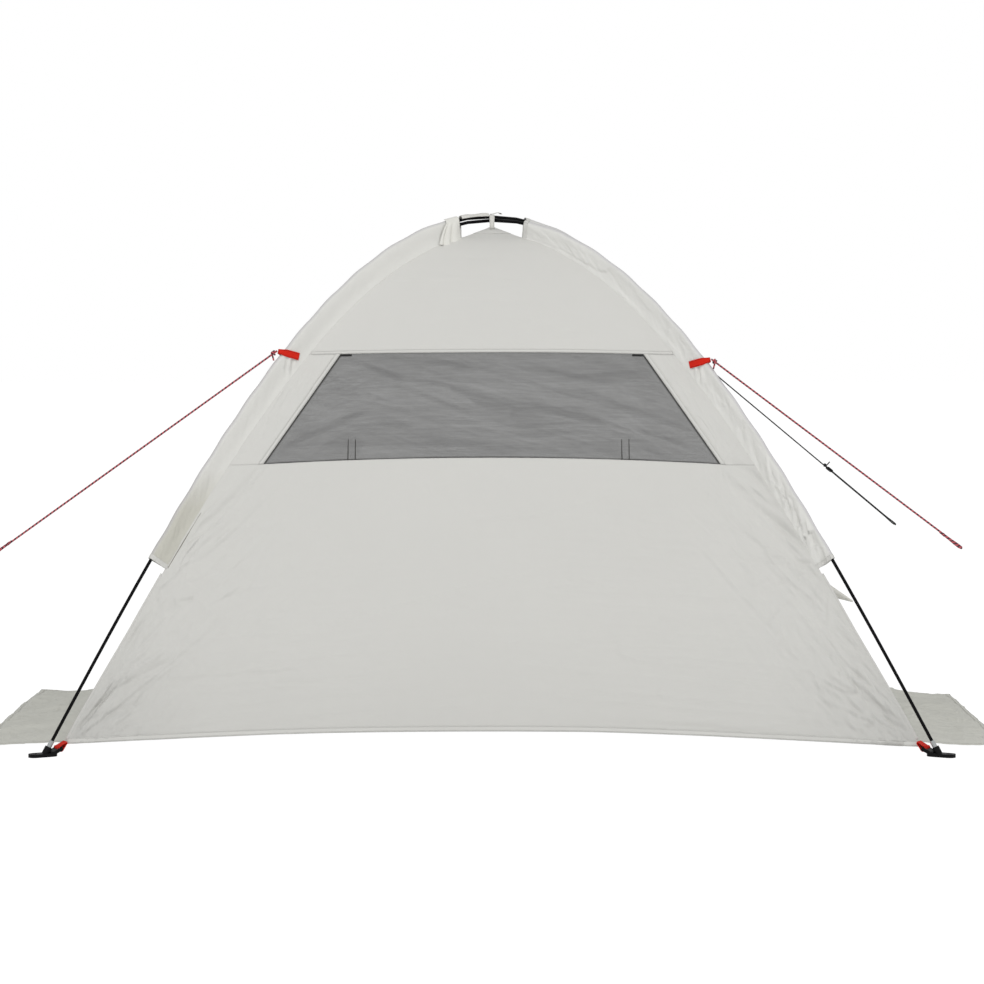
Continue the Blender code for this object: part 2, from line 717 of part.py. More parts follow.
# Crown: patch over the panels' tops, strap over the crossing, strip over one pole
def build_crown(upper_line):
    rim = float(seam_height(PATCH_SHARE)) + PATCH_LIFT
    vertices = [(x * PATCH_SHARE * FOOT_HALF_SPAN, y * PATCH_SHARE * FOOT_HALF_DEPTH, rim)
                for x, y in ((-1, -1), (1, -1), (1, 1), (-1, 1))]
    vertices.append((0.0, 0.0, float(seam_height(0.0)) + PATCH_LIFT))
    faces = [(side, (side + 1) % 4, 4) for side in range(4)]
    cloth("crown_patch", vertices, faces, FABRIC_THICKNESS, "canopy_fabric", outward=True)

    depth_share = STRAP_HALF_DEPTH / FOOT_HALF_DEPTH
    low = float(seam_height(depth_share)) + PATCH_LIFT + FABRIC_THICKNESS + TOUCH_GAP
    low += STRAP_THICKNESS
    top = CROWN_HEIGHT + POLE_SPACING + POLE_RADIUS + TOUCH_GAP
    middle = CROWN_HEIGHT
    path = [(-STRAP_HALF_DEPTH, low)]
    for angle in np.linspace(math.pi, 0, STRAP_BEND_STEPS + 1):
        path.append((STRAP_HALF_DEPTH * math.cos(angle),
                     middle + (top - middle) * math.sin(angle) ** 0.5))
    path.append((STRAP_HALF_DEPTH, low))
    grid = np.array([[(-STRAP_HALF_WIDTH, y, z), (STRAP_HALF_WIDTH, y, z)] for y, z in path])
    sheet("crown_strap", grid, STRAP_THICKNESS, "cream_webbing", outward=True)

    start = upper_line.place_at_run(-TIE_STRIP_START_SHARE * DIAGONAL)
    end = upper_line.place_at_run(-TIE_STRIP_END_SHARE * DIAGONAL)
    inner_radius = POLE_RADIUS + SOCKET_CLEARANCE
    rings = []
    for place in upper_line.between(start, end):
        centre, out, _ = upper_line.at(place)
        outside, inside = [], []
        for angle in np.linspace(-math.pi / 2, math.pi / 2, TIE_STRIP_SIDES + 1):
            spoke = math.cos(angle) * out + math.sin(angle) * upper_line.side
            outside.append(centre + TIE_STRIP_RADIUS * spoke)
            inside.append(centre + inner_radius * spoke / math.cos(math.pi / POLE_SIDES))
        rings.append(np.array(outside + inside[::-1]))
    capped_sweep("crown_tie", rings, "cream_webbing")


# Corner frame at a pole's end: outward along the diagonal, sideways, and the tip's foot
def corner_frame(corner, line):
    rear = corner.startswith("rear")
    place = 0.0 if rear else line.length
    centre, _, ahead = line.at(place)
    down = -ahead if rear else ahead
    side_x, side_y = CORNERS[corner]
    out = unit(np.array([side_x * FOOT_HALF_SPAN, side_y * FOOT_HALF_DEPTH, 0.0]))
    return centre, down, out


def build_tips(lines):
    profile = [(0.0, -TOUCH_GAP), (TIP_RADIUS, -TOUCH_GAP),
               (TIP_RADIUS, TIP_CHAMFER - TIP_LENGTH),
               (TIP_RADIUS - TIP_CHAMFER, -TIP_LENGTH), (0.0, -TIP_LENGTH)]
    vertices = [(r, 0.0, z) for r, z in profile]
    edges = [(i, i + 1) for i in range(len(profile) - 1)]
    for corner, line in lines.items():
        mesh = bpy.data.meshes.new(f"tip_{corner}")
        mesh.from_pydata(vertices, edges, [])
        tip = add_object(f"pole_tip_{corner}", mesh, "tip_metal")
        turned = tip.modifiers.new("turned", "SCREW")
        turned.steps = TIP_SIDES
        turned.render_steps = TIP_SIDES
        turned.use_merge_vertices = True
        turned.merge_threshold = 0.00001
        turned.use_smooth_shade = False
        centre, down, _ = corner_frame(corner, line)
        tip.location = centre
        tip.rotation_mode = "QUATERNION"
        tip.rotation_quaternion = Vector(-down).to_track_quat("Z", "Y")


# Shoe: flat plate with an eyelet, a slanted socket for the tip and a raised slotted tongue
def plate_mesh():
    curve = bpy.data.curves.new("shoe_plate", "CURVE")
    curve.dimensions = "2D"
    curve.fill_mode = "BOTH"
    curve.extrude = SHOE_THICKNESS / 2
    outline = []
    for centre, first in ((SHOE_OUTER_REACH, -90), (-SHOE_INNER_REACH, 90)):
        for angle in np.radians(first + np.arange(0, 181, 30)):
            outline.append((centre + SHOE_HALF_WIDTH * math.cos(angle),
                            SHOE_HALF_WIDTH * math.sin(angle)))
    hole = [(SHOE_OUTER_REACH + EYELET_RADIUS * math.cos(a), EYELET_RADIUS * math.sin(a))
            for a in np.radians(np.arange(0, 360, 30))]
    for points in (outline, hole):
        spline = curve.splines.new("POLY")
        spline.points.add(len(points) - 1)
        for target, (x, y) in zip(spline.points, points):
            target.co = (x, y, SHOE_THICKNESS / 2, 1.0)
        spline.use_cyclic_u = True
    guide = bpy.data.objects.new("shoe_plate_guide", curve)
    CUTTERS.objects.link(guide)
    bpy.context.view_layer.update()
    graph = bpy.context.evaluated_depsgraph_get()
    mesh = bpy.data.meshes.new_from_object(guide.evaluated_get(graph))
    bpy.data.objects.remove(guide)
    made = bmesh.new()
    made.from_mesh(mesh)
    bmesh.ops.remove_doubles(made, verts=made.verts, dist=0.00001)
    bmesh.ops.recalc_face_normals(made, faces=made.faces)
    made.to_mesh(mesh)
    made.free()
    return mesh


def helper(name, mesh, matrix=None):
    made = bpy.data.objects.new(name, mesh)
    made.hide_render = True
    made.display_type = "WIRE"
    CUTTERS.objects.link(made)
    if matrix is not None:
        made.matrix_world = matrix
    return made


def box_mesh(name, low, high):
    made = bmesh.new()
    bmesh.ops.create_cube(made, size=1.0)
    middle = (Vector(low) + Vector(high)) / 2
    size = Vector(high) - Vector(low)
    bmesh.ops.scale(made, vec=size, verts=made.verts)
    bmesh.ops.translate(made, vec=middle, verts=made.verts)
    mesh = bpy.data.meshes.new(name)
    made.to_mesh(mesh)
    made.free()
    return mesh


def cylinder_mesh(name, radius, low, high, sides=16):
    made = bmesh.new()
    bmesh.ops.create_cone(made, cap_ends=True, segments=sides, radius1=radius, radius2=radius,
                          depth=high - low)
    bmesh.ops.translate(made, vec=(0.0, 0.0, (low + high) / 2), verts=made.verts)
    mesh = bpy.data.meshes.new(name)
    made.to_mesh(mesh)
    made.free()
    return mesh


def with_booleans(base, steps):
    for number, (operation, other) in enumerate(steps):
        cut = base.modifiers.new(f"shape {number}", "BOOLEAN")
        cut.operation = operation
        cut.solver = "EXACT"
        cut.object = other
    bpy.context.view_layer.update()
    graph = bpy.context.evaluated_depsgraph_get()
    return bpy.data.meshes.new_from_object(base.evaluated_get(graph))


def tongue_point(along, above=0.0):
    return (-TONGUE_START - along * math.cos(TONGUE_TILT) + above * math.sin(TONGUE_TILT),
            SHOE_THICKNESS / 2 + along * math.sin(TONGUE_TILT) + above * math.cos(TONGUE_TILT))


def build_shoes(lines):
    centre, down, out = corner_frame("rear_left", lines["rear_left"])
    lean = math.atan2(float(down @ out), float(-down @ UP))
    foot = centre + TIP_LENGTH * down
    socket = Matrix.Translation((0.0, 0.0, float(foot @ UP))) @ Matrix.Rotation(-lean, 4, "Y")
    tilt = Matrix.Translation((-TONGUE_START, 0.0, SHOE_THICKNESS / 2)) @ Matrix.Rotation(
        TONGUE_TILT, 4, "Y")
    half = SHOE_THICKNESS / 2
    slot_end = TONGUE_LENGTH - BAR_LENGTH
    plate = helper("shoe_base", plate_mesh())
    tongue = helper("shoe_tongue", box_mesh("tongue", (-TONGUE_LENGTH, -TONGUE_HALF_WIDTH, -half),
                                            (0.0, TONGUE_HALF_WIDTH, half)), tilt)
    slot = helper("shoe_slot", box_mesh("slot", (-slot_end, -SLOT_HALF_WIDTH, -half - CUT_OVERRUN),
                                        (SLOT_LENGTH - slot_end, SLOT_HALF_WIDTH,
                                         half + CUT_OVERRUN)), tilt)
    outer = TIP_RADIUS + BORE_CLEARANCE + SOCKET_WALL
    boss = helper("shoe_boss", cylinder_mesh("boss", outer, -SHOE_THICKNESS, BOSS_HEIGHT), socket)
    bore = helper("shoe_bore", cylinder_mesh("bore", TIP_RADIUS + BORE_CLEARANCE, -TOUCH_GAP,
                                             BOSS_HEIGHT + CUT_OVERRUN, TIP_SIDES), socket)
    under = helper("shoe_under", box_mesh(
        "under", (-SHOE_OUTER_REACH, -SHOE_OUTER_REACH, -SHOE_OUTER_REACH),
        (SHOE_OUTER_REACH, SHOE_OUTER_REACH, 0.0)))
    shape = with_booleans(plate, (("UNION", tongue), ("UNION", boss), ("DIFFERENCE", slot),
                                  ("DIFFERENCE", bore), ("DIFFERENCE", under)))
    for spare in (plate, tongue, slot, boss, bore, under):
        bpy.data.objects.remove(spare)
    shape.shade_smooth()
    shape.set_sharp_from_angle(angle=math.radians(35))
    for corner, line in lines.items():
        centre, down, out = corner_frame(corner, line)
        foot = centre + TIP_LENGTH * down
        shoe = add_object(f"shoe_{corner}", shape.copy(), "black_plastic")
        shoe.location = (foot[0], foot[1], 0.0)
        shoe.rotation_euler = (0.0, 0.0, math.atan2(out[1], out[0]))


# Webbing loop round the shoe's bar, its two layers running up to the canopy's corner
def build_corner_loops(lines):
    bar_x, bar_z = tongue_point(TONGUE_LENGTH - BAR_LENGTH / 2)
    radius = math.hypot(BAR_LENGTH, SHOE_THICKNESS) / 2 + SEAM_GAP
    for corner, line in lines.items():
        centre, down, out = corner_frame(corner, line)
        foot = centre + TIP_LENGTH * down
        sideways = np.cross(UP, out)
        corner_x = HEM_SHARE * DIAGONAL - float(foot @ out)
        end_x = corner_x + 2 * SEAM_GAP
        towards = math.atan2(HEM_HEIGHT - bar_z, end_x - bar_x)
        path = [(end_x, HEM_HEIGHT + LOOP_LAYER_GAP / 2)]
        for angle in np.linspace(towards - math.pi + LOOP_WRAP / 2, towards - math.pi
                                 - LOOP_WRAP / 2, 11):
            path.append((bar_x + radius * math.cos(angle), bar_z + radius * math.sin(angle)))
        path.append((end_x, HEM_HEIGHT - LOOP_LAYER_GAP / 2))
        rows = []
        for x, z in path:
            point = np.array([foot[0], foot[1], 0.0]) + x * out + z * UP
            rows.append([point + LOOP_HALF_WIDTH * sideways, point - LOOP_HALF_WIDTH * sideways])
        sheet(f"corner_loop_{corner}", np.array(rows), WEBBING_THICKNESS, "red_webbing",
              outward=True)


# Guy tab: webbing folded over the sleeve, leaving an eye outside it for the rope
def tab_frame(corner, line):
    share = TAB_PLACES_SHARES[corner]
    place = line.place_at_run((-share if corner.startswith("rear") else share) * DIAGONAL)
    centre, _, _ = line.at(place)
    side_x, side_y = CORNERS[corner]
    out = unit(np.array([side_x * FOOT_HALF_SPAN, side_y * FOOT_HALF_DEPTH, 0.0]))
    ahead = math.cos(TAB_RISE) * out + math.sin(TAB_RISE) * UP
    across = math.cos(TAB_RISE) * UP - math.sin(TAB_RISE) * out
    return centre, ahead, across, np.cross(ahead, across)


def tab_eye(corner, line):
    centre, ahead, _, _ = tab_frame(corner, line)
    reach = TAB_OUTER_REACH + WEBBING_THICKNESS + RED_ROPE_RADIUS + TOUCH_GAP
    return centre + reach * ahead


def build_tabs(lines):
    half_path = [(-TAB_INNER_REACH, TAB_INNER_HALF_GAP), (-TAB_SHOULDER, TAB_HALF_GAP),
                 (TAB_EYE_START, TAB_HALF_GAP), (TAB_EYE_CURVE, TAB_EYE_HALF_GAP)]
    path = half_path + [(TAB_OUTER_REACH, 0.0)] + [(a, -b) for a, b in half_path[::-1]]
    for corner, line in lines.items():
        centre, ahead, across, beside = tab_frame(corner, line)
        rows = []
        for along, aside in path:
            share = (along + TAB_INNER_REACH) / (TAB_INNER_REACH + TAB_OUTER_REACH)
            half = TAB_INNER_HALF_WIDTH + share * (TAB_OUTER_HALF_WIDTH - TAB_INNER_HALF_WIDTH)
            point = centre + along * ahead + aside * beside
            rows.append([point + half * across, point - half * across])
        sheet(f"guy_tab_{corner}", np.array(rows), WEBBING_THICKNESS, "red_webbing", outward=True)


# A guy rope's line: from the tab's eye straight to its end, with a level side direction
def rope_frame(start, end):
    start, end = np.array(start), np.array(end)
    ahead = unit(end - start)
    aside = unit(np.cross(UP, ahead))
    return start, float(np.linalg.norm(end - start)), ahead, aside


def rope_points(start, end, loop, last):
    origin, length, ahead, aside = rope_frame(start, end)
    table = [(0.0, 0.0), (length / 3, 0.0), (2 * length / 3, 0.0)]
    table += [(length + along, offset) for along, offset in loop] + last(length)
    route = [origin + along * ahead + offset * aside for along, offset in table]
    return smooth_route(route, ROPE_STEP)


def build_red_rope(name, start, end):
    cord(f"guy_rope_{name}", rope_points(start, end, RED_LOOP_TABLE, lambda length: []),
         RED_ROPE_RADIUS, "red_cord")


def build_black_rope(start, end):
    def tail(length):
        back = TENSIONER_REACH + TENSIONER_LENGTH / 2
        return [(length - back * share, -BLACK_STRAND_SPACING) for share in (0.5, 0.75)] + [
            (length - back - ROPE_TAIL, -BLACK_STRAND_SPACING)]

    cord("guy_rope_front_right", rope_points(start, end, BLACK_LOOP_TABLE, tail),
         BLACK_ROPE_RADIUS, "black_cord")
    origin, length, ahead, aside = rope_frame(start, end)
    middle = origin + (length - TENSIONER_REACH) * ahead - BLACK_STRAND_SPACING / 2 * aside
    turn = Matrix((np.cross(aside, ahead), aside, ahead)).transposed().to_4x4()
    place = Matrix.Translation(middle) @ turn
    half = TENSIONER_LENGTH / 2
    block = box_mesh("rope_tensioner", (-TENSIONER_HALF_THICKNESS, -TENSIONER_HALF_WIDTH, -half),
                     (TENSIONER_HALF_THICKNESS, TENSIONER_HALF_WIDTH, half))
    tensioner = add_object("rope_tensioner", block, "black_plastic")
    tensioner.matrix_world = place
    rounding = tensioner.modifiers.new("rounding", "BEVEL")
    rounding.width = TENSIONER_ROUNDING
    rounding.segments = 2
    for offset in (-BLACK_STRAND_SPACING / 2, BLACK_STRAND_SPACING / 2):
        hole = cylinder_mesh("rope_hole", BLACK_ROPE_RADIUS + BORE_CLEARANCE, -half - CUT_OVERRUN,
                             half + CUT_OVERRUN, 12)
        cutter = helper("rope_hole_cutter", hole,
                        place @ Matrix.Translation((0.0, offset, 0.0)))
        cut = tensioner.modifiers.new("rope hole", "BOOLEAN")
        cut.operation = "DIFFERENCE"
        cut.solver = "EXACT"
        cut.object = cutter


def build_side_tab():
    roots = []
    for height in SIDE_TAB_ROOT_HEIGHTS:
        share = share_at_height(height)
        root = side_point(SIDE_TAB_ROOT_DEPTH / (share * FOOT_HALF_DEPTH), share, 1)
        roots.append(root + np.array([TOUCH_GAP, 0.0, 0.0]))
    tip = np.array(SIDE_TAB_TIP)
    grid = np.array([[roots[0], tip], [roots[1], tip + SIDE_TAB_TIP_SIZE * UP]])
    sheet("side_tab", grid, FABRIC_THICKNESS, "canopy_fabric")


clear_scene()
TENT = new_collection("beach_tent")
CUTTERS = new_collection("cutters")
MATERIALS = {name: new_material(name, *values) for name, values in FINISHES.items()}

SEAM_SHARES, SEAM_HEIGHTS = seam_profile()
HEM_SHARE = share_at_height(HEM_HEIGHT)
WINDOW_LOW_SHARE = share_at_height(WINDOW_BOTTOM_HEIGHT)
WINDOW_HIGH_SHARE = share_at_height(WINDOW_TOP_HEIGHT)

upper_pole = PoleLine("rear_left", CROWN_HEIGHT + POLE_SPACING)
lower_pole = PoleLine("rear_right", CROWN_HEIGHT)
corner_lines = {
    "rear_left": upper_pole,
    "front_right": upper_pole,
    "rear_right": lower_pole,
    "front_left": lower_pole,
}

build_pole("a", upper_pole)
build_pole("b", lower_pole)
build_tips(corner_lines)
build_shoes(corner_lines)
build_corner_loops(corner_lines)
build_rear_wall()
build_side_walls()
build_brow()
build_groundsheet()
build_flaps()
build_window()
build_cover()
build_sleeves(upper_pole, "rear_left", "front_right")
build_sleeves(lower_pole, "rear_right", "front_left")
build_crown(upper_pole)
build_tabs(corner_lines)
build_red_rope("rear_left", tab_eye("rear_left", upper_pole), REAR_LEFT_ROPE_END)
build_red_rope("rear_right", tab_eye("rear_right", lower_pole), REAR_RIGHT_ROPE_END)
build_black_rope(tab_eye("front_right", upper_pole), FRONT_RIGHT_ROPE_END)
build_side_tab()
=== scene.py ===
import math

import bpy
import numpy as np
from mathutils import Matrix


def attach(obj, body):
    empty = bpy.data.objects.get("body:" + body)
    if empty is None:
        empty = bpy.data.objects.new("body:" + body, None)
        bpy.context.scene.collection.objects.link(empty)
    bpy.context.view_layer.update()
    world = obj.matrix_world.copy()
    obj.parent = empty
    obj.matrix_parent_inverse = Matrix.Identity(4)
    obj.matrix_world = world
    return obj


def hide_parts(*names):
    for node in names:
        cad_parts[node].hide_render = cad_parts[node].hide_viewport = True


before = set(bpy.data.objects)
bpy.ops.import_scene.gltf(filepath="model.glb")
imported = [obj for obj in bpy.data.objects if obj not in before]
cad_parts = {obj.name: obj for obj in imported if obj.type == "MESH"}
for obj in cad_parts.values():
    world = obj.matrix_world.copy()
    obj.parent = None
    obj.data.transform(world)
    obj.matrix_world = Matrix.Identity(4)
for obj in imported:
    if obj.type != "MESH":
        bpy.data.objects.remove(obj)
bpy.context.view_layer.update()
print("frame loaded")

up = np.array([0.0, 0.0, 1.0])
corners = {"rearLeft": (-1, -1), "rearRight": (1, -1), "frontLeft": (-1, 1), "frontRight": (1, 1)}
nodeEnding = {"rearLeft": "rear_left", "rearRight": "rear_right",
              "frontLeft": "front_left", "frontRight": "front_right"}
sides = (("Left", -1), ("Right", 1))


def titled(corner):
    return corner[0].upper() + corner[1:]


def addObject(name, data):
    made = bpy.data.objects.new(name, data)
    bpy.context.scene.collection.objects.link(made)
    return made


# A value, or another node's output, into a socket
def put(tree, value, socket):
    if isinstance(value, bpy.types.NodeSocket):
        tree.links.new(value, socket)
    else:
        socket.default_value = value


# Camera, light and floor
studio = {
    "lens": 122.1, "sensor": 36.0, "cameraPlace": (0.0, -8.07, 1.049), "cameraPitch": 3.46,
    "skyLight": 0.50, "keyPower": 190.0, "keySize": 3.2, "keyPlace": (-0.6, -5.6, 5.0),
    "fillPower": 40.0, "fillSize": 3.0, "fillPlace": (5.2, -3.6, 1.9),
    "floorColour": 0.95, "floorSize": 60.0, "floorShadow": 0.09, "floorGlow": 1.105,
    "clipEnd": 200.0, "aim": (0.0, 0.0, 0.5),
}


def aimAt(lamp, target):
    offset = np.array(lamp.location) - np.array(target)
    lamp.rotation_euler = (math.atan2(math.hypot(offset[0], offset[1]), offset[2]), 0.0,
                           math.atan2(offset[1], offset[0]) + math.pi / 2)


def addStudio():
    camera = addObject("photoCamera", bpy.data.cameras.new("photoCamera"))
    camera.data.lens = studio["lens"]
    camera.data.sensor_width = studio["sensor"]
    camera.data.clip_end = studio["clipEnd"]
    camera.location = studio["cameraPlace"]
    camera.rotation_euler = (math.radians(90 - studio["cameraPitch"]), 0.0, 0.0)
    bpy.context.scene.camera = camera
    for name in ("key", "fill"):
        lamp = addObject(name + "Softbox", bpy.data.lights.new(name, "AREA"))
        lamp.data.shape = "DISK"
        lamp.data.size = studio[name + "Size"]
        lamp.data.energy = studio[name + "Power"]
        lamp.location = studio[name + "Place"]
        aimAt(lamp, studio["aim"])
    world = bpy.data.worlds.new("whiteSweep")
    world.use_nodes = True
    bpy.context.scene.world = world
    tree = world.node_tree
    sky = tree.nodes["Background"]
    level = tree.nodes.new("ShaderNodeMapRange")
    put(tree, seenRays(tree), level.inputs["Value"])
    put(tree, studio["skyLight"], level.inputs["To Min"])
    put(tree, 1.0, level.inputs["To Max"])
    put(tree, level.outputs["Result"], sky.inputs["Strength"])
    put(tree, (1.0, 1.0, 1.0, 1.0), sky.inputs["Color"])
    half = studio["floorSize"] / 2
    mesh = bpy.data.meshes.new("studioFloor")
    mesh.from_pydata([(-half, -half, 0), (half, -half, 0), (half, half, 0), (-half, half, 0)], [],
                     [(0, 1, 2, 3)])
    mesh.materials.append(floorPaint())
    addObject("studioFloor", mesh)
    bpy.context.scene.view_settings.view_transform = "Standard"


# 1 where a camera, glossy or transmission ray looks
def seenRays(tree):
    rays = tree.nodes.new("ShaderNodeLightPath").outputs
    seen = math2(tree, "MAXIMUM", rays["Is Camera Ray"], rays["Is Glossy Ray"])
    return math2(tree, "MAXIMUM", seen, rays["Is Transmission Ray"])


# Pale floor: seen as white, with a share of its own shading so that shadows stay
def floorPaint():
    material = bpy.data.materials.new("floorPaint")
    material.use_nodes = True
    tree = material.node_tree
    shader = tree.nodes["Principled BSDF"]
    put(tree, (*[studio["floorColour"]] * 3, 1.0), shader.inputs["Base Color"])
    put(tree, 1.0, shader.inputs["Roughness"])
    put(tree, 0.0, shader.inputs["Specular IOR Level"])
    glow = tree.nodes.new("ShaderNodeEmission")
    put(tree, studio["floorGlow"], glow.inputs["Strength"])
    mix = tree.nodes.new("ShaderNodeMixShader")
    share = math2(tree, "MULTIPLY", seenRays(tree), 1.0 - studio["floorShadow"])
    for source, socket in zip((share, shader.outputs[0], glow.outputs[0]), mix.inputs):
        put(tree, source, socket)
    put(tree, mix.outputs[0], tree.nodes["Material Output"].inputs["Surface"])
    return material


# Quads between neighbouring rows and columns of each patch, a grid of points with its UV; wrap
# joins the last column to the first, and caps closes the first and last row with one face each
def patchMesh(name, patches, wrap=False, caps=False):
    places, faces, uvs, start = [], [], [], 0
    for points, uv in patches:
        rows, columns = points.shape[:2]
        r = np.arange(rows - 1)[:, None]
        c = np.arange(columns if wrap else columns - 1)[None, :]
        beside = (c + 1) % columns
        quads = np.stack([r * columns + c, r * columns + beside,
                          (r + 1) * columns + beside, (r + 1) * columns + c], axis=-1)
        faces += (quads.reshape(-1, 4) + start).tolist()
        uvs.append(np.stack([uv[r, c], uv[r, c + 1], uv[r + 1, c + 1], uv[r + 1, c]],
                            axis=-2).reshape(-1, 2))
        if caps:
            faces.append(list(range(start, start + columns))[::-1])
            faces.append(list(range(start + (rows - 1) * columns, start + rows * columns)))
            uvs.append(np.zeros((2 * columns, 2)))
        places.append(points.reshape(-1, 3))
        start += rows * columns
    mesh = bpy.data.meshes.new(name)
    mesh.from_pydata(np.concatenate(places).tolist(), [], faces)
    layer = mesh.uv_layers.new(name="cloth")
    layer.data.foreach_set("uv", np.concatenate(uvs).astype(np.float32).ravel())
    mesh.polygons.foreach_set("use_smooth", np.ones(len(mesh.polygons), bool))
    mesh.update()
    return mesh


def surfaceMesh(name, points, uv, wrap=False, caps=False):
    return patchMesh(name, [(points, uv)], wrap, caps)


# One number for each vertex, which the piece's finish reads
def keepValues(piece, name, values):
    layer = piece.data.attributes.new(name, "FLOAT", "POINT")
    layer.data.foreach_set("value", values.astype(np.float32).ravel())


# Lengths along a path from its start
def lengthsAlong(points):
    return np.concatenate([[0], np.cumsum(np.linalg.norm(np.diff(points, axis=0), axis=1))])


def pathLength(points):
    return float(np.linalg.norm(np.diff(points, axis=0), axis=1).sum())


# Distances along a grid's two directions, in metres, as its UV
def gridUv(points, wrap=False):
    if wrap:
        points = np.concatenate([points, points[:, :1]], axis=1)
    across = np.linalg.norm(np.diff(points, axis=1), axis=2).mean(axis=0)
    along = np.linalg.norm(np.diff(points, axis=0), axis=2).mean(axis=1)
    u = np.concatenate([[0], np.cumsum(across)])
    v = np.concatenate([[0], np.cumsum(along)])
    return np.stack(np.broadcast_arrays(u[None, :], v[:, None]), axis=-1)


# Unit normals of a grid, columns crossed with rows
def gridNormals(points):
    across = np.gradient(points, axis=1)
    along = np.gradient(points, axis=0)
    normal = np.cross(across, along)
    return normal / np.maximum(np.linalg.norm(normal, axis=2, keepdims=True), 1e-9)


def unit(vectors):
    return vectors / np.linalg.norm(vectors, axis=-1, keepdims=True)


def smoothStep(x):
    x = np.clip(x, 0.0, 1.0)
    return x * x * (3 - 2 * x)


noiseTable = np.random.default_rng(7).uniform(-1, 1, (128, 128))


# Smooth noise from -1 to 1 on a lattice of side 1, blended by x^2 (3 - 2x)
def softNoise(x, y, seed=0):
    x, y = x + 17.3 * seed, y + 9.7 * seed
    i, j = np.floor(x).astype(int), np.floor(y).astype(int)
    a, b = smoothStep(x - i), smoothStep(y - j)
    low = noiseTable[i % 128, j % 128] * (1 - a) + noiseTable[(i + 1) % 128, j % 128] * a
    high = (noiseTable[i % 128, (j + 1) % 128] * (1 - a)
            + noiseTable[(i + 1) % 128, (j + 1) % 128] * a)
    return low * (1 - b) + high * b


# Sharp creases of cloth: (1 - |noise|)^3 in two sizes, with both signs
def creased(x, y, seed=0):
    total = 0.0
    for size, weight in ((1.0, 0.65), (2.3, 0.35)):
        ridge = (1 - np.abs(softNoise(x * size, y * size, seed + size))) ** 3
        total = total + weight * ridge * np.sign(softNoise(x * size / 2, y * size / 2, seed + 5))
    return total


# Creases that run one way round a centre: x, z, reach, turn, length, width, depth, seed
def creaseField(x, z, field):
    cx, cz, reach, turn, length, width, depth, seed = field
    dx, dz = x - cx, z - cz
    c, s = math.cos(math.radians(turn)), math.sin(math.radians(turn))
    near = np.exp(-(dx ** 2 + dz ** 2) / reach ** 2)
    return 1.6 * depth * near * creased((dx * c + dz * s) / length, (dz * c - dx * s) / width, seed)


def addPiece(name, mesh, material, nodes=(), body="tent", thickness=0.0, offset=-1.0):
    piece = addObject(name, mesh)
    mesh.materials.append(material)
    if thickness:
        wall = piece.modifiers.new("clothThickness", "SOLIDIFY")
        wall.thickness = thickness
        wall.offset = offset
        wall.use_even_offset = True
    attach(piece, body)
    if nodes:
        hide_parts(*nodes)
    return piece


# Local frames along a path: tangent, normal nearest to the reference, and their cross
def pathFrames(points, reference):
    tangent = unit(np.gradient(points, axis=0))
    reference = np.broadcast_to(reference, points.shape)
    normal = unit(reference - (reference * tangent).sum(axis=1, keepdims=True) * tangent)
    return tangent, normal, np.cross(tangent, normal)


# Round tube: point(t, a) = path(t) + radius(t) (cos a normal + sin a cross)
def tubeMesh(name, points, radius, reference, sides=10):
    _, normal, cross = pathFrames(points, reference)
    angle = np.arange(sides) * 2 * np.pi / sides
    radius = np.broadcast_to(radius, len(points))[:, None, None]
    spokes = (np.cos(angle)[None, :, None] * normal[:, None]
              + np.sin(angle)[None, :, None] * cross[:, None])
    grid = points[:, None] + radius * spokes
    return surfaceMesh(name, grid, gridUv(grid, wrap=True), wrap=True, caps=True)


# Flat band: a rounded rectangle, width by thickness, carried along a path. The profile's
# corner is a superellipse, sign(c)|c|^(2/n), so that webbing gets soft edges
def bandMesh(name, points, widths, thickness, reference, sides=16, squareness=5.0):
    _, normal, cross = pathFrames(points, reference)
    angle = (np.arange(sides) + 0.5) * 2 * np.pi / sides
    power = 2.0 / squareness
    x = np.sign(np.cos(angle)) * np.abs(np.cos(angle)) ** power
    y = np.sign(np.sin(angle)) * np.abs(np.sin(angle)) ** power
    half = np.broadcast_to(widths, len(points))[:, None, None] / 2
    grid = (points[:, None] + half * x[None, :, None] * cross[:, None]
            + thickness / 2 * y[None, :, None] * normal[:, None])
    across = np.append(x, x[0]) * 0.5 + 0.5
    uv = np.stack(np.broadcast_arrays(lengthsAlong(points)[:, None], across[None, :]), axis=-1)
    return surfaceMesh(name, grid, uv, wrap=True, caps=True)


# Smooth line through given points: Catmull-Rom, p(s) = (2b + (c-a)s + (2a-5b+4c-d)s^2
# + (3b-a-3c+d)s^3) / 2 on each span, with points about one step apart
def smoothRoute(points, step):
    points = np.array(points, float)
    ends = np.concatenate([[2 * points[0] - points[1]], points, [2 * points[-1] - points[-2]]])
    made = []
    for a, b, c, d in zip(ends, ends[1:], ends[2:], ends[3:]):
        count = max(1, round(float(np.linalg.norm(c - b)) / step))
        s = (np.arange(count) / count)[:, None]
        made.append((2 * b + (c - a) * s + (2 * a - 5 * b + 4 * c - d) * s ** 2
                     + (3 * b - a - 3 * c + d) * s ** 3) / 2)
    return np.concatenate(made + [points[-1:]])


# The tent's lines, in metres; a share is 0 at the crown and 1 at the feet
tent = {
    "halfSpan": 1.01, "halfDepth": 0.60, "crownHeight": 1.217, "fullness": 0.4,
    "poleEnd": 0.034, "poleSpacing": 0.0083, "poleRadius": 0.004, "hem": 0.030,
    "dip": 0.064, "peak": 1.2015, "panelTop": 0.006,
    "dropShares": (0.064, 0.20, 0.50, 0.85, 0.95), "drops": (0.034, 0.042, 0.045, 0.039, 0.031),
}
diagonal = math.hypot(tent["halfSpan"], tent["halfDepth"])


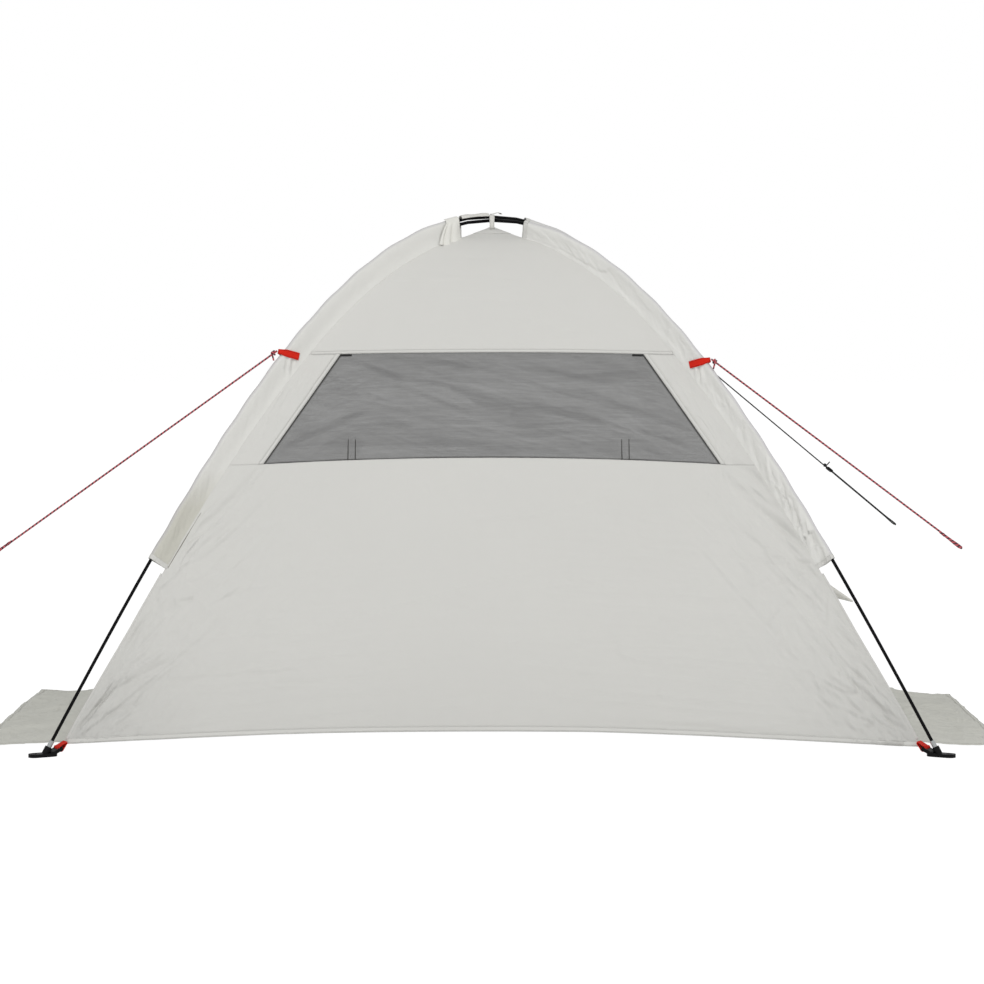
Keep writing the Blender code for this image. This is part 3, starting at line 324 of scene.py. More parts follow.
# Height of a pole over the ground: z = H (1 - share^(2 - fullness share))
def archHeight(share, crown):
    return crown * (1 - share ** (2 - tent["fullness"] * share))


# One pole as fine arrays against the length from its rear foot
def poleLine(corner, crown):
    sideX, sideY = corners[corner]
    fine = np.linspace(-1, 1, 4001)
    height = archHeight(np.abs(fine), crown)
    kept = height >= tent["poleEnd"]
    run, height = fine[kept] * diagonal, height[kept]
    length = np.concatenate([[0], np.cumsum(np.hypot(np.diff(run), np.diff(height)))])
    heading = unit(np.array([-sideX * tent["halfSpan"], -sideY * tent["halfDepth"], 0.0]))
    slope = np.stack([np.gradient(run), np.gradient(height)])
    slope /= np.linalg.norm(slope, axis=0)
    return {"place": length, "run": run, "height": height, "slope": slope,
            "heading": heading, "side": np.cross(heading, up), "length": length[-1]}


def poleAt(line, place):
    run = np.interp(place, line["place"], line["run"])[:, None]
    height = np.interp(place, line["place"], line["height"])[:, None]
    ahead = np.interp(place, line["place"], line["slope"][0])[:, None]
    rise = np.interp(place, line["place"], line["slope"][1])[:, None]
    heading = line["heading"]
    return (run * heading + height * up, ahead * up - rise * heading,
            ahead * heading + rise * up)


def placeAtRun(line, run):
    return float(np.interp(run, line["run"], line["place"]))


def placeAtHeight(line, height):
    half = len(line["height"]) // 2
    return float(np.interp(height, line["height"][:half], line["place"][:half]))


def seamDrop(share):
    return np.interp(share, tent["dropShares"], tent["drops"])


# The line where two panels meet under a pole: the pole moved inwards by the drop
def seamProfile():
    line = poleLine("rearLeft", tent["crownHeight"])
    half = len(line["place"]) // 2 + 1
    share = -line["run"][:half] / diagonal
    ahead, rise = line["slope"][:, :half]
    drop = seamDrop(share)
    seamShare = share - drop * rise / diagonal
    height = line["height"][:half] - drop * ahead
    kept = seamShare > tent["dip"]
    seamShare, height = seamShare[kept][::-1], height[kept][::-1]
    return (np.concatenate([[0.0, tent["dip"]], seamShare]),
            np.concatenate([[tent["peak"], height[0]], height]))


seamShares, seamHeights = seamProfile()


def seamHeight(share):
    return np.interp(share, seamShares, seamHeights)


def shareAtHeight(height):
    falling = seamShares >= tent["dip"]
    return np.interp(-np.asarray(height), -seamHeights[falling], seamShares[falling])


hemShare = float(shareAtHeight(tent["hem"]))
upperPole = poleLine("rearLeft", tent["crownHeight"] + tent["poleSpacing"])
lowerPole = poleLine("rearRight", tent["crownHeight"])
cornerPole = {"rearLeft": upperPole, "frontRight": upperPole,
              "rearRight": lowerPole, "frontLeft": lowerPole}


# A shader group with its sockets and both of its end nodes
def newGroup(name, inputs, outputs):
    group = bpy.data.node_groups.new(name, "ShaderNodeTree")
    for kind, title, value in inputs:
        socket = group.interface.new_socket(title, in_out="INPUT", socket_type=kind)
        if value is not None:
            socket.default_value = value
    for kind, title in outputs:
        group.interface.new_socket(title, in_out="OUTPUT", socket_type=kind)
    start = group.nodes.new("NodeGroupInput")
    end = group.nodes.new("NodeGroupOutput")
    return group, start, end


def math2(tree, operation, a, b=None, c=None):
    node = tree.nodes.new("ShaderNodeMath")
    node.operation = operation
    for socket, value in zip(node.inputs, (a, b, c)):
        if value is not None:
            put(tree, value, socket)
    return node.outputs[0]


# Plain weave: height = 0.5 + 0.5 sin(2 pi u / thread) sin(2 pi v / thread)
def weaveGroup():
    group, start, end = newGroup(
        "plainWeave", [("NodeSocketVector", "Vector", None), ("NodeSocketFloat", "Thread", 0.0006)],
        [("NodeSocketFloat", "Height")])
    split = group.nodes.new("ShaderNodeSeparateXYZ")
    group.links.new(start.outputs["Vector"], split.inputs[0])
    waves = []
    for axis in ("X", "Y"):
        turns = math2(group, "DIVIDE", split.outputs[axis], start.outputs["Thread"])
        waves.append(math2(group, "SINE", math2(group, "MULTIPLY", turns, 2 * math.pi)))
    product = math2(group, "MULTIPLY", waves[0], waves[1])
    group.links.new(math2(group, "MULTIPLY_ADD", product, 0.5, 0.5), end.inputs["Height"])
    return group


# Soft change of tone, 1 - amount to 1 + amount, from two sizes of noise
def toneGroup():
    group, start, end = newGroup(
        "toneClouds", [("NodeSocketVector", "Vector", None), ("NodeSocketFloat", "Size", 0.3),
                       ("NodeSocketFloat", "Amount", 0.02)], [("NodeSocketFloat", "Tone")])
    scale = math2(group, "DIVIDE", 1.0, start.outputs["Size"])
    fine = math2(group, "MULTIPLY", scale, 7.0)
    total = None
    for size, weight in ((scale, 0.7), (fine, 0.3)):
        noise = group.nodes.new("ShaderNodeTexNoise")
        noise.inputs["Detail"].default_value = 3.0
        group.links.new(start.outputs["Vector"], noise.inputs["Vector"])
        group.links.new(size, noise.inputs["Scale"])
        centred = math2(group, "MULTIPLY", math2(group, "SUBTRACT", noise.outputs["Fac"], 0.5),
                        4.0 * weight)
        total = centred if total is None else math2(group, "ADD", total, centred)
    group.links.new(math2(group, "MULTIPLY_ADD", total, start.outputs["Amount"], 1.0),
                    end.inputs["Tone"])
    return group


# A row of stitches: a dash along the row where the distance across is under half a thread
def stitchGroup():
    group, start, end = newGroup(
        "stitchRow", [("NodeSocketFloat", "Along", 0.0), ("NodeSocketFloat", "Across", 0.0),
                      ("NodeSocketFloat", "Row", 0.0), ("NodeSocketFloat", "Thread", 0.0008),
                      ("NodeSocketFloat", "Pitch", 0.003)],
        [("NodeSocketFloat", "Mask")])
    off = math2(group, "ABSOLUTE", math2(group, "SUBTRACT", start.outputs["Across"],
                                         start.outputs["Row"]))
    near = math2(group, "LESS_THAN", off, start.outputs["Thread"])
    turn = math2(group, "FRACT", math2(group, "DIVIDE", start.outputs["Along"],
                                       start.outputs["Pitch"]))
    dash = math2(group, "LESS_THAN", turn, 0.72)
    group.links.new(math2(group, "MULTIPLY", near, dash), end.inputs["Mask"])
    return group


groups = {"weave": weaveGroup(), "tone": toneGroup(), "stitch": stitchGroup()}


# A material's tree with a few handles on it
class Finish:
    def __init__(self, name, colour, roughness, metallic=0.0, specular=0.5, sheen=0.0):
        self.material = bpy.data.materials.new(name)
        self.material.use_nodes = True
        self.tree = self.material.node_tree
        self.shader = self.tree.nodes["Principled BSDF"]
        self.colour = (*colour, 1.0)
        for title, value in (("Base Color", self.colour), ("Roughness", roughness),
                             ("Metallic", metallic), ("Specular IOR Level", specular),
                             ("Sheen Weight", sheen)):
            put(self.tree, value, self.shader.inputs[title])
        self.height = None
        self.object = self.node("TexCoord").outputs["Object"]
        place = self.node("UVMap")
        place.uv_map = "cloth"
        self.uv = place.outputs["UV"]

    # A node of one kind with its inputs filled; an underscore stands for a space
    def node(self, kind, **values):
        made = self.tree.nodes.new("ShaderNode" + kind)
        for title, value in values.items():
            put(self.tree, value, made.inputs[title.replace("_", " ")])
        return made

    def use(self, kind, **values):
        made = self.node("Group")
        made.node_tree = groups[kind]
        for title, value in values.items():
            put(self.tree, value, made.inputs[title])
        return made.outputs[0]

    def do(self, operation, a, b=None, c=None):
        return math2(self.tree, operation, a, b, c)

    def clamp(self, value, top=1.0):
        return self.do("MINIMUM", self.do("MAXIMUM", value, 0.0), top)

    def split(self, vector):
        return self.node("SeparateXYZ", Vector=vector).outputs

    def blend(self, kind, factor, other):
        mix = self.node("Mix")
        mix.data_type = "RGBA"
        mix.blend_type = kind
        put(self.tree, factor, mix.inputs["Factor"])
        put(self.tree, self.colour, mix.inputs["A"])
        put(self.tree, other, mix.inputs["B"])
        self.colour = mix.outputs["Result"]

    # The base colour times a value that changes over the surface
    def shade(self, factor):
        grey = self.node("CombineColor", Red=factor, Green=factor, Blue=factor)
        self.blend("MULTIPLY", 1.0, grey.outputs[0])

    # Another colour where the mask is 1
    def paint(self, mask, colour):
        self.blend("MIX", mask, (*colour, 1.0))

    def raiseBy(self, height, amount):
        part = self.do("MULTIPLY", height, amount)
        self.height = part if self.height is None else self.do("ADD", self.height, part)

    def noise(self, vector, scale, detail=2.0, stretch=None):
        if stretch:
            vector = self.node("Mapping", Vector=vector, Scale=stretch).outputs[0]
        return self.node("TexNoise", Vector=vector, Scale=scale, Detail=detail).outputs["Fac"]

    def attribute(self, name):
        made = self.node("Attribute")
        made.attribute_name = name
        return made.outputs["Fac"]

    def rough(self, value, low, high):
        span = self.node("MapRange", Value=value, To_Min=low, To_Max=high)
        put(self.tree, span.outputs["Result"], self.shader.inputs["Roughness"])

    # Rows of stitches along a tape: painted, and sunk into it
    def stitch(self, parts, rows, thread, pitch, colour, depth):
        for row in rows:
            mask = self.use("stitch", Along=parts["X"], Across=parts["Y"], Row=row, Thread=thread,
                            Pitch=pitch)
            self.paint(mask, colour)
            self.raiseBy(mask, -depth)

    def done(self):
        put(self.tree, self.colour, self.shader.inputs["Base Color"])
        if self.height is not None:
            bump = self.node("Bump", Strength=1.0, Distance=1.0, Height=self.height)
            put(self.tree, bump.outputs[0], self.shader.inputs["Normal"])
        return self.material


# Cloths: colour, roughness and thread
canopyCloth = {"colour": (0.632, 0.628, 0.600), "roughness": 0.78, "thread": 0.0009}
flapCloth = {"colour": (0.606, 0.606, 0.556), "roughness": 0.82, "thread": 0.0010}
netting = {"colour": (0.078, 0.078, 0.074), "pitch": 0.0016, "hole": 0.385, "thread": 0.31}
floorCloth = {"colour": (0.42, 0.42, 0.40), "roughness": 0.65, "thread": 0.0012}


# Coated plain-woven polyester: weave, faint clouds of tone and small crumples
def clothFinish(name, look, crumple=0.0012, tone=0.012):
    finish = Finish(name, look["colour"], look["roughness"], specular=0.25, sheen=0.05)
    # Painted shade: darker towards the hem, and more so towards the foot corners, for the shade among the
    # creases there
    if "lowCornerShade" in look:
        parts = finish.split(finish.object)
        low = finish.do("MAXIMUM", finish.do("MULTIPLY_ADD", parts["Z"], -3.2, 1.0), 0.0)
        far = finish.do("MULTIPLY_ADD", finish.do("ABSOLUTE", parts["X"]), 3.0, -1.9)
        far = finish.clamp(far)
        depth = finish.do("MULTIPLY_ADD", far, look["lowCornerShade"][1], look["lowCornerShade"][0])
        finish.shade(finish.do("SUBTRACT", 1.0, finish.do("MULTIPLY", low, depth)))
    # The colour turns darker and yellower below about 0.64 m, down to about 0.54 m
    if "darkerBelow" in look:
        fade = finish.do("MULTIPLY_ADD", finish.split(finish.object)["Z"], -8.0, 5.1)
        finish.paint(finish.clamp(fade, 0.75), look["darkerBelow"])
    # Painted shade: the round side over the pole is mixed towards a violet grey, for the shade along the
    # sleeve's edge where the dark pole shows through the cloth
    if "pole" in look:
        finish.paint(finish.do("MULTIPLY", finish.attribute("head"), 0.7), look["pole"])
    weave = finish.use("weave", Vector=finish.uv, Thread=look["thread"])
    clouds = finish.use("tone", Vector=finish.object, Size=0.30, Amount=tone)
    finish.shade(clouds)
    # Painted shade: a little darker in the hollows of the weave
    finish.shade(finish.do("MULTIPLY_ADD", weave, 0.05, 0.975))
    finish.raiseBy(weave, 0.00006)
    soft = finish.noise(finish.object, 9.0, 3.0, stretch=(1.0, 1.0, 0.6))
    finish.raiseBy(soft, crumple)
    finish.rough(clouds, look["roughness"] - 0.06, look["roughness"] + 0.04)
    return finish.done()


# Folded binding or hem: cloth with two rows of stitches; its UV is metres along, share across
def bindingFinish(name, look, stitch=(0.50, 0.50, 0.47)):
    finish = Finish(name, look["colour"], look["roughness"], specular=0.25)
    parts = finish.split(finish.uv)
    weave = finish.use("weave", Vector=finish.object, Thread=look["thread"])
    finish.shade(finish.use("tone", Vector=finish.object, Size=0.20, Amount=0.02))
    finish.raiseBy(weave, 0.00005)
    finish.stitch(parts, (0.16, 0.84), 0.045, 0.0035, stitch, 0.0004)
    pucker = finish.noise(finish.uv, 1.0, 2.0, stretch=(160.0, 2.0, 1.0))
    finish.raiseBy(pucker, 0.0007)
    return finish.done()


# Woven band: fine ribs across its width, a darker thread line at each edge
def webbingFinish(name, colour, stitch, rib=0.0011):
    finish = Finish(name, colour, 0.7, specular=0.12)
    parts = finish.split(finish.uv)
    ribs = finish.do("SINE", finish.do("MULTIPLY", parts["X"], 2 * math.pi / rib))
    # Painted shade: darker in the grooves between the ribs
    finish.shade(finish.do("MULTIPLY_ADD", ribs, 0.10, 0.92))
    finish.shade(finish.use("tone", Vector=finish.object, Size=0.03, Amount=0.06))
    finish.raiseBy(ribs, 0.00010)
    finish.stitch(parts, (0.14, 0.86), 0.035, 0.0026, stitch, 0.0003)
    return finish.done()


# Braided cord: two sets of strands wound opposite ways, with flecks of a second colour
def cordFinish(name, colour, fleck, circumference, amount=0.38, lay=0.011):
    finish = Finish(name, colour, 0.7, specular=0.12)
    parts = finish.split(finish.uv)
    around = finish.do("DIVIDE", parts["X"], circumference)
    along = finish.do("DIVIDE", parts["Y"], lay)
    strands = [finish.do("SINE", finish.do("MULTIPLY", finish.do(way, along, around), 6 * math.pi))
               for way in ("ADD", "SUBTRACT")]
    braid = finish.do("MAXIMUM", *strands)
    twist = finish.do("FRACT", finish.do("ADD", finish.do("MULTIPLY", along, 0.5), around))
    mask = finish.do("LESS_THAN", twist, amount)
    finish.paint(mask, fleck)
    # Painted shade: darker in the grooves between the strands
    finish.shade(finish.do("MULTIPLY_ADD", braid, 0.12, 0.88))
    finish.raiseBy(braid, 0.00025)
    return finish.done()


# Dark netting: threads with open holes between them, so that what lies behind shows through.
# Folds and the sewn rim, kept as attributes, are denser
def nettingFinish():
    finish = Finish("windowNetting", netting["colour"], 0.85, specular=0.08)
    parts = finish.split(finish.uv)
    threads = []
    for axis in ("X", "Y"):
        turn = finish.do("MULTIPLY", parts[axis], math.pi / netting["pitch"])
        wave = finish.do("ABSOLUTE", finish.do("SINE", turn))
        threads.append(finish.do("MULTIPLY_ADD", wave, -2.5, 1.9))
    thread = finish.clamp(finish.do("MAXIMUM", *threads))
    ripples = finish.noise(finish.uv, 1.0, 3.0, stretch=(14.0, 330.0, 1.0))
    fold, rim = finish.attribute("fold"), finish.attribute("rim")
    dense = finish.do("MULTIPLY_ADD", thread, netting["thread"], netting["hole"])
    dense = finish.do("MULTIPLY_ADD", finish.do("SUBTRACT", ripples, 0.5), 0.12, dense)
    dense = finish.do("MULTIPLY_ADD", fold, 0.038, dense)
    dense = finish.do("MAXIMUM", dense, finish.do("MULTIPLY", rim, 0.86))
    alpha = finish.do("MINIMUM", dense, 1.0)
    finish.tree.links.new(alpha, finish.shader.inputs["Alpha"])
    # Painted shade of the folds: darker where a fold bulges outwards, lighter where it sinks in
    finish.shade(finish.do("MULTIPLY_ADD", fold, -0.16, 1.0))
    finish.shade(finish.do("MULTIPLY_ADD", rim, -0.10, 1.0))
    finish.paint(finish.attribute("bound"), canopyCloth["colour"])
    finish.raiseBy(thread, 0.00012)
    return finish.done()


# Solid with a grain: one noise shades and roughens it, another raises it
def grainFinish(name, colour, roughness, grain, shading, rough=None, relief=None, stretch=None,
                **look):
    finish = Finish(name, colour, roughness, **look)
    wear = finish.noise(finish.object, *grain, stretch)
    finish.shade(finish.do("MULTIPLY_ADD", wear, *shading))
    if rough:
        finish.rough(wear, *rough)
    if relief:
        scale, detail, height = relief
        finish.raiseBy(finish.noise(finish.object, scale, detail, stretch), height)
    return finish.done()


finishes = {
    # canopy: painted shade towards the hem and the foot corners
    "canopy": clothFinish("canopyCloth", {**canopyCloth, "lowCornerShade": (0.04, 0.13)}),
    # Sleeves: the canopy cloth painted brighter as painted light, the left one a little less; their pole
    # colour is painted shade on the round side
    "sleeve": clothFinish("sleeveClothPaintedLight", {**canopyCloth, "colour": (0.738, 0.735, 0.704),
                                          "pole": (0.50, 0.49, 0.51)}, 0.0014),
    "sleeveLeft": clothFinish("sleeveLeftClothPaintedLight", {**canopyCloth, "colour": (0.716, 0.712, 0.680),
                                                  "darkerBelow": (0.520, 0.510, 0.440),
                                                  "pole": (0.52, 0.51, 0.52)}, 0.0014),
    # painted shadow: dark cloth for the band beside the left sleeve
    "paintedSleeveShadow": bindingFinish("paintedSleeveShadow", {**canopyCloth, "colour": (0.20, 0.18, 0.14)}),
    # corner seams: painted shade low down towards the foot corners
    "seam": clothFinish("cornerSeamCloth", {**canopyCloth, "lowCornerShade": (0.0, 0.08)}, 0.0006),
    # Painted light: the canopy cloth made a little brighter, for the cuff and the side tab
    "cuff": clothFinish("cuffClothPaintedLight", {**canopyCloth, "colour": (0.74, 0.735, 0.69)}, 0.0010),
    "flap": clothFinish("flapCloth", flapCloth, 0.0030, 0.03),
    "floorSheet": clothFinish("floorSheet", floorCloth, 0.0020, 0.03),
    "binding": bindingFinish("foldedBinding", canopyCloth),
    "flapHem": bindingFinish("flapHem", flapCloth, (0.42, 0.42, 0.38)),
    "redWebbing": webbingFinish("redWebbing", (0.74, 0.022, 0.010), (0.36, 0.010, 0.007)),
    "creamWebbing": webbingFinish("creamWebbing", (0.745, 0.735, 0.695), (0.55, 0.54, 0.50), 0.0016),
    "redCord": cordFinish("redCord", (0.60, 0.125, 0.145), (0.070, 0.045, 0.055), 0.0138, 0.42,
                          0.0050),
    "blackCord": cordFinish("blackCord", (0.045, 0.045, 0.046), (0.020, 0.020, 0.020), 0.0110, 0.2),
    "netting": nettingFinish(),
    "plastic": grainFinish("mouldedPlastic", (0.006, 0.006, 0.0065), 0.46, (60.0, 4.0), (0.9, 0.55),
                           (0.36, 0.61), (900.0, 2.0, 0.00012), specular=0.07),
    "pole": grainFinish("glassFibrePole", (0.004, 0.004, 0.0045), 0.45, (14.0, 2.0), (0.3, 0.85),
                        (0.34, 0.46), specular=0.045),
    "tip": grainFinish("turnedTip", (0.33, 0.34, 0.34), 0.34, (500.0, 2.0), (0.35, 0.8),
                       (0.22, 0.42), (500.0, 2.0, 0.00004), (0.2, 0.2, 6.0), metallic=1.0),
    "elastic": grainFinish("elasticCord", (0.70, 0.70, 0.70), 0.8, (700.0, 2.0), (0.5, 0.7),
                           relief=(700.0, 2.0, 0.0001)),
    "nap": grainFinish("hookNap", (0.018, 0.018, 0.018), 0.9, (1500.0, 3.0), (1.2, 0.4),
                       relief=(1500.0, 3.0, 0.0006), specular=0.2, sheen=0.2),
}
addStudio()
print("studio and finishes made")


# Guy ropes; a loop is a row of places along and aside of the rope from its far end
ropes = {
    "redRadius": 0.0022, "tabRedRadius": 0.002, "blackRadius": 0.0017, "step": 0.010, "strandGap": 0.0048,
    "redLoop": ((-0.0700, 0.0), (-0.0500, 0.0), (-0.0300, 0.0018), (-0.0140, 0.0050),
                (-0.0030, 0.0040), (0.0, -0.0035), (-0.0050, -0.0100), (-0.0160, -0.0100),
                (-0.0310, -0.0064), (-0.0500, -0.0048), (-0.0620, -0.0048)),
    "blackLoop": ((-0.0700, 0.0), (-0.0500, 0.0), (-0.0300, 0.0012), (-0.0130, 0.0038),
                  (-0.0030, 0.0030), (0.0, -0.0035), (-0.0045, -0.0090), (-0.0150, -0.0090),
                  (-0.0310, -0.0060), (-0.0500, -0.0048), (-0.0700, -0.0048)),
    "rearLeftEnd": (-1.125, -0.610, 0.452), "rearRightEnd": (1.055, -0.600, 0.471),
    "frontRightEnd": (1.042, 0.540, 0.444),
    "tensionerBack": 0.245, "tensionerHalf": 0.0085, "tail": 0.014,
    "tabReach": 0.0175, "webbing": 0.0012, "gap": 0.0003, "tabRise": 14.0,
    "tabShares": {"rearLeft": 0.478, "rearRight": 0.488, "frontLeft": 0.515, "frontRight": 0.515},
}


# Directions of the webbing tab on a pole: out along the tent's diagonal, tilted up
def tabFrame(corner):
    line = cornerPole[corner]
    share = ropes["tabShares"][corner]
    sideX, sideY = corners[corner]
    place = placeAtRun(line, (share if sideY > 0 else -share) * diagonal)
    centre = poleAt(line, np.array([place]))[0][0]
    out = unit(np.array([sideX * tent["halfSpan"], sideY * tent["halfDepth"], 0.0]))
    rise = math.radians(ropes["tabRise"])
    ahead = math.cos(rise) * out + math.sin(rise) * up
    across = math.cos(rise) * up - math.sin(rise) * out
    return centre, ahead, across, np.cross(ahead, across)


def ropeFrame(corner, end):
    centre, tabAhead, _, _ = tabFrame(corner)
    reach = ropes["tabReach"] + ropes["webbing"] + ropes["tabRedRadius"] + ropes["gap"]
    start = centre + reach * tabAhead
    ahead = unit(np.array(end) - start)
    aside = unit(np.cross(up, ahead))
    return start, float(np.linalg.norm(np.array(end) - start)), ahead, aside


def ropePath(corner, end, loop, tail=()):
    start, length, ahead, aside = ropeFrame(corner, end)
    table = [(0.0, 0.0), (length / 3, 0.0), (2 * length / 3, 0.0)]
    table += [(length + along, offset) for along, offset in loop]
    table += [(length + along, offset) for along, offset in tail]
    route = [start + along * ahead + offset * aside for along, offset in table]
    return smoothRoute(route, ropes["step"])


# A knot: the cord's own thread wound as a helix round the rope, ending in a short tail.
# point(t) = axis(t) + (rope + thread) (cos 2 pi n t, sin 2 pi n t) in the plane across
def knotMesh(name, centre, ahead, aside, radius, reach, length, turns, tailVector, depth=1.0):
    t = np.linspace(0, 1, int(28 * turns))
    sideways = np.cross(ahead, aside)
    angle = 2 * np.pi * turns * t
    spoke = np.cos(angle)[:, None] * aside + depth * np.sin(angle)[:, None] * sideways
    squeeze = 1.0 - 0.10 * np.sin(np.pi * t)[:, None]
    coil = centre + (t - 0.5)[:, None] * length * ahead + reach * squeeze * spoke
    tail = coil[-1] + np.linspace(0.15, 1, 8)[:, None] * tailVector
    points = np.concatenate([coil, tail])
    return tubeMesh(name, points, radius, -ahead, 8)


def addKnot(name, finish, slot, *shape):
    return addPiece(name, knotMesh(name, *shape), finishes[finish])


def declareRope(rope, path):
    print(rope.name, round(pathLength(path), 3), "m")


def addRedRope(corner, end):
    radius = ropes["redRadius"]
    path = ropePath(corner, end, ropes["redLoop"])
    start, length, ahead, aside = ropeFrame(corner, end)
    sideways = np.cross(ahead, aside)
    name = "guyRope" + titled(corner)
    rope = addPiece(name, tubeMesh(name, path, radius, sideways, 12), finishes["redCord"],
                    ["guy_rope_" + nodeEnding[corner]])
    sideX = corners[corner][0]
    # title, place along and aside, turns, the tail's direction and length, thread and reach in
    # radii of the cord, extra reach, and the coil's depth
    knots = (("Tab", 0.010, 0.0, 1.6, (-0.25 * sideX, 0.0, -1.0), 0.013, 0.95, 2.1, 0.0, 1.0),
             ("Loop", length - 0.052, -ropes["strandGap"] / 2, 4.0, (0.5, 0.0, -0.6), 0.002, 0.28,
              1.7, 0.0010, 0.58))
    for title, along, offset, turns, hang, tail, thread, wide, more, depth in knots:
        centre = start + along * ahead + offset * aside
        addKnot(name + title + "Knot", "redCord", "red_cord", centre, ahead, aside,
                              radius * thread, wide * radius + more, 0.0052 * turns * thread, turns,
                              tail * unit(np.array(hang)), depth)
    declareRope(rope, path)


def addBlackRope(end):
    radius = ropes["blackRadius"]
    back = ropes["tensionerBack"] + ropes["tensionerHalf"]
    gap = ropes["strandGap"]
    tail = [(-back * 0.5, -gap), (-back * 0.75, -gap), (-back - ropes["tail"], -gap)]
    path = ropePath("frontRight", end, ropes["blackLoop"], tail)
    start, length, ahead, aside = ropeFrame("frontRight", end)
    sideways = np.cross(ahead, aside)
    rope = addPiece("guyRopeFrontRight", tubeMesh("guyRopeFrontRight", path, radius, sideways, 12),
                    finishes["blackCord"], ["guy_rope_front_right"])
    spot = start + (length - back - 0.010) * ahead - gap * aside
    pieces = [addKnot("stopperKnot", "blackCord", "black_cord", spot, ahead, aside, radius * 0.9,
                      2 * radius, 0.0045, 1.5, 0.014 * unit(np.array([0.6, -0.2, 0.7]))),
              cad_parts["rope_tensioner"],
              addKnot("guyRopeFrontRightKnot", "blackCord", "black_cord", start + 0.011 * ahead,
                      ahead, aside, radius, 2 * radius + 0.0002, 0.007, 1.6,
                      0.016 * unit(np.array([-0.2, 0.0, -1.0])))]
    declareRope(rope, path)


addRedRope("rearLeft", ropes["rearLeftEnd"])
addRedRope("rearRight", ropes["rearRightEnd"])
addBlackRope(ropes["frontRightEnd"])
print("guy ropes made")


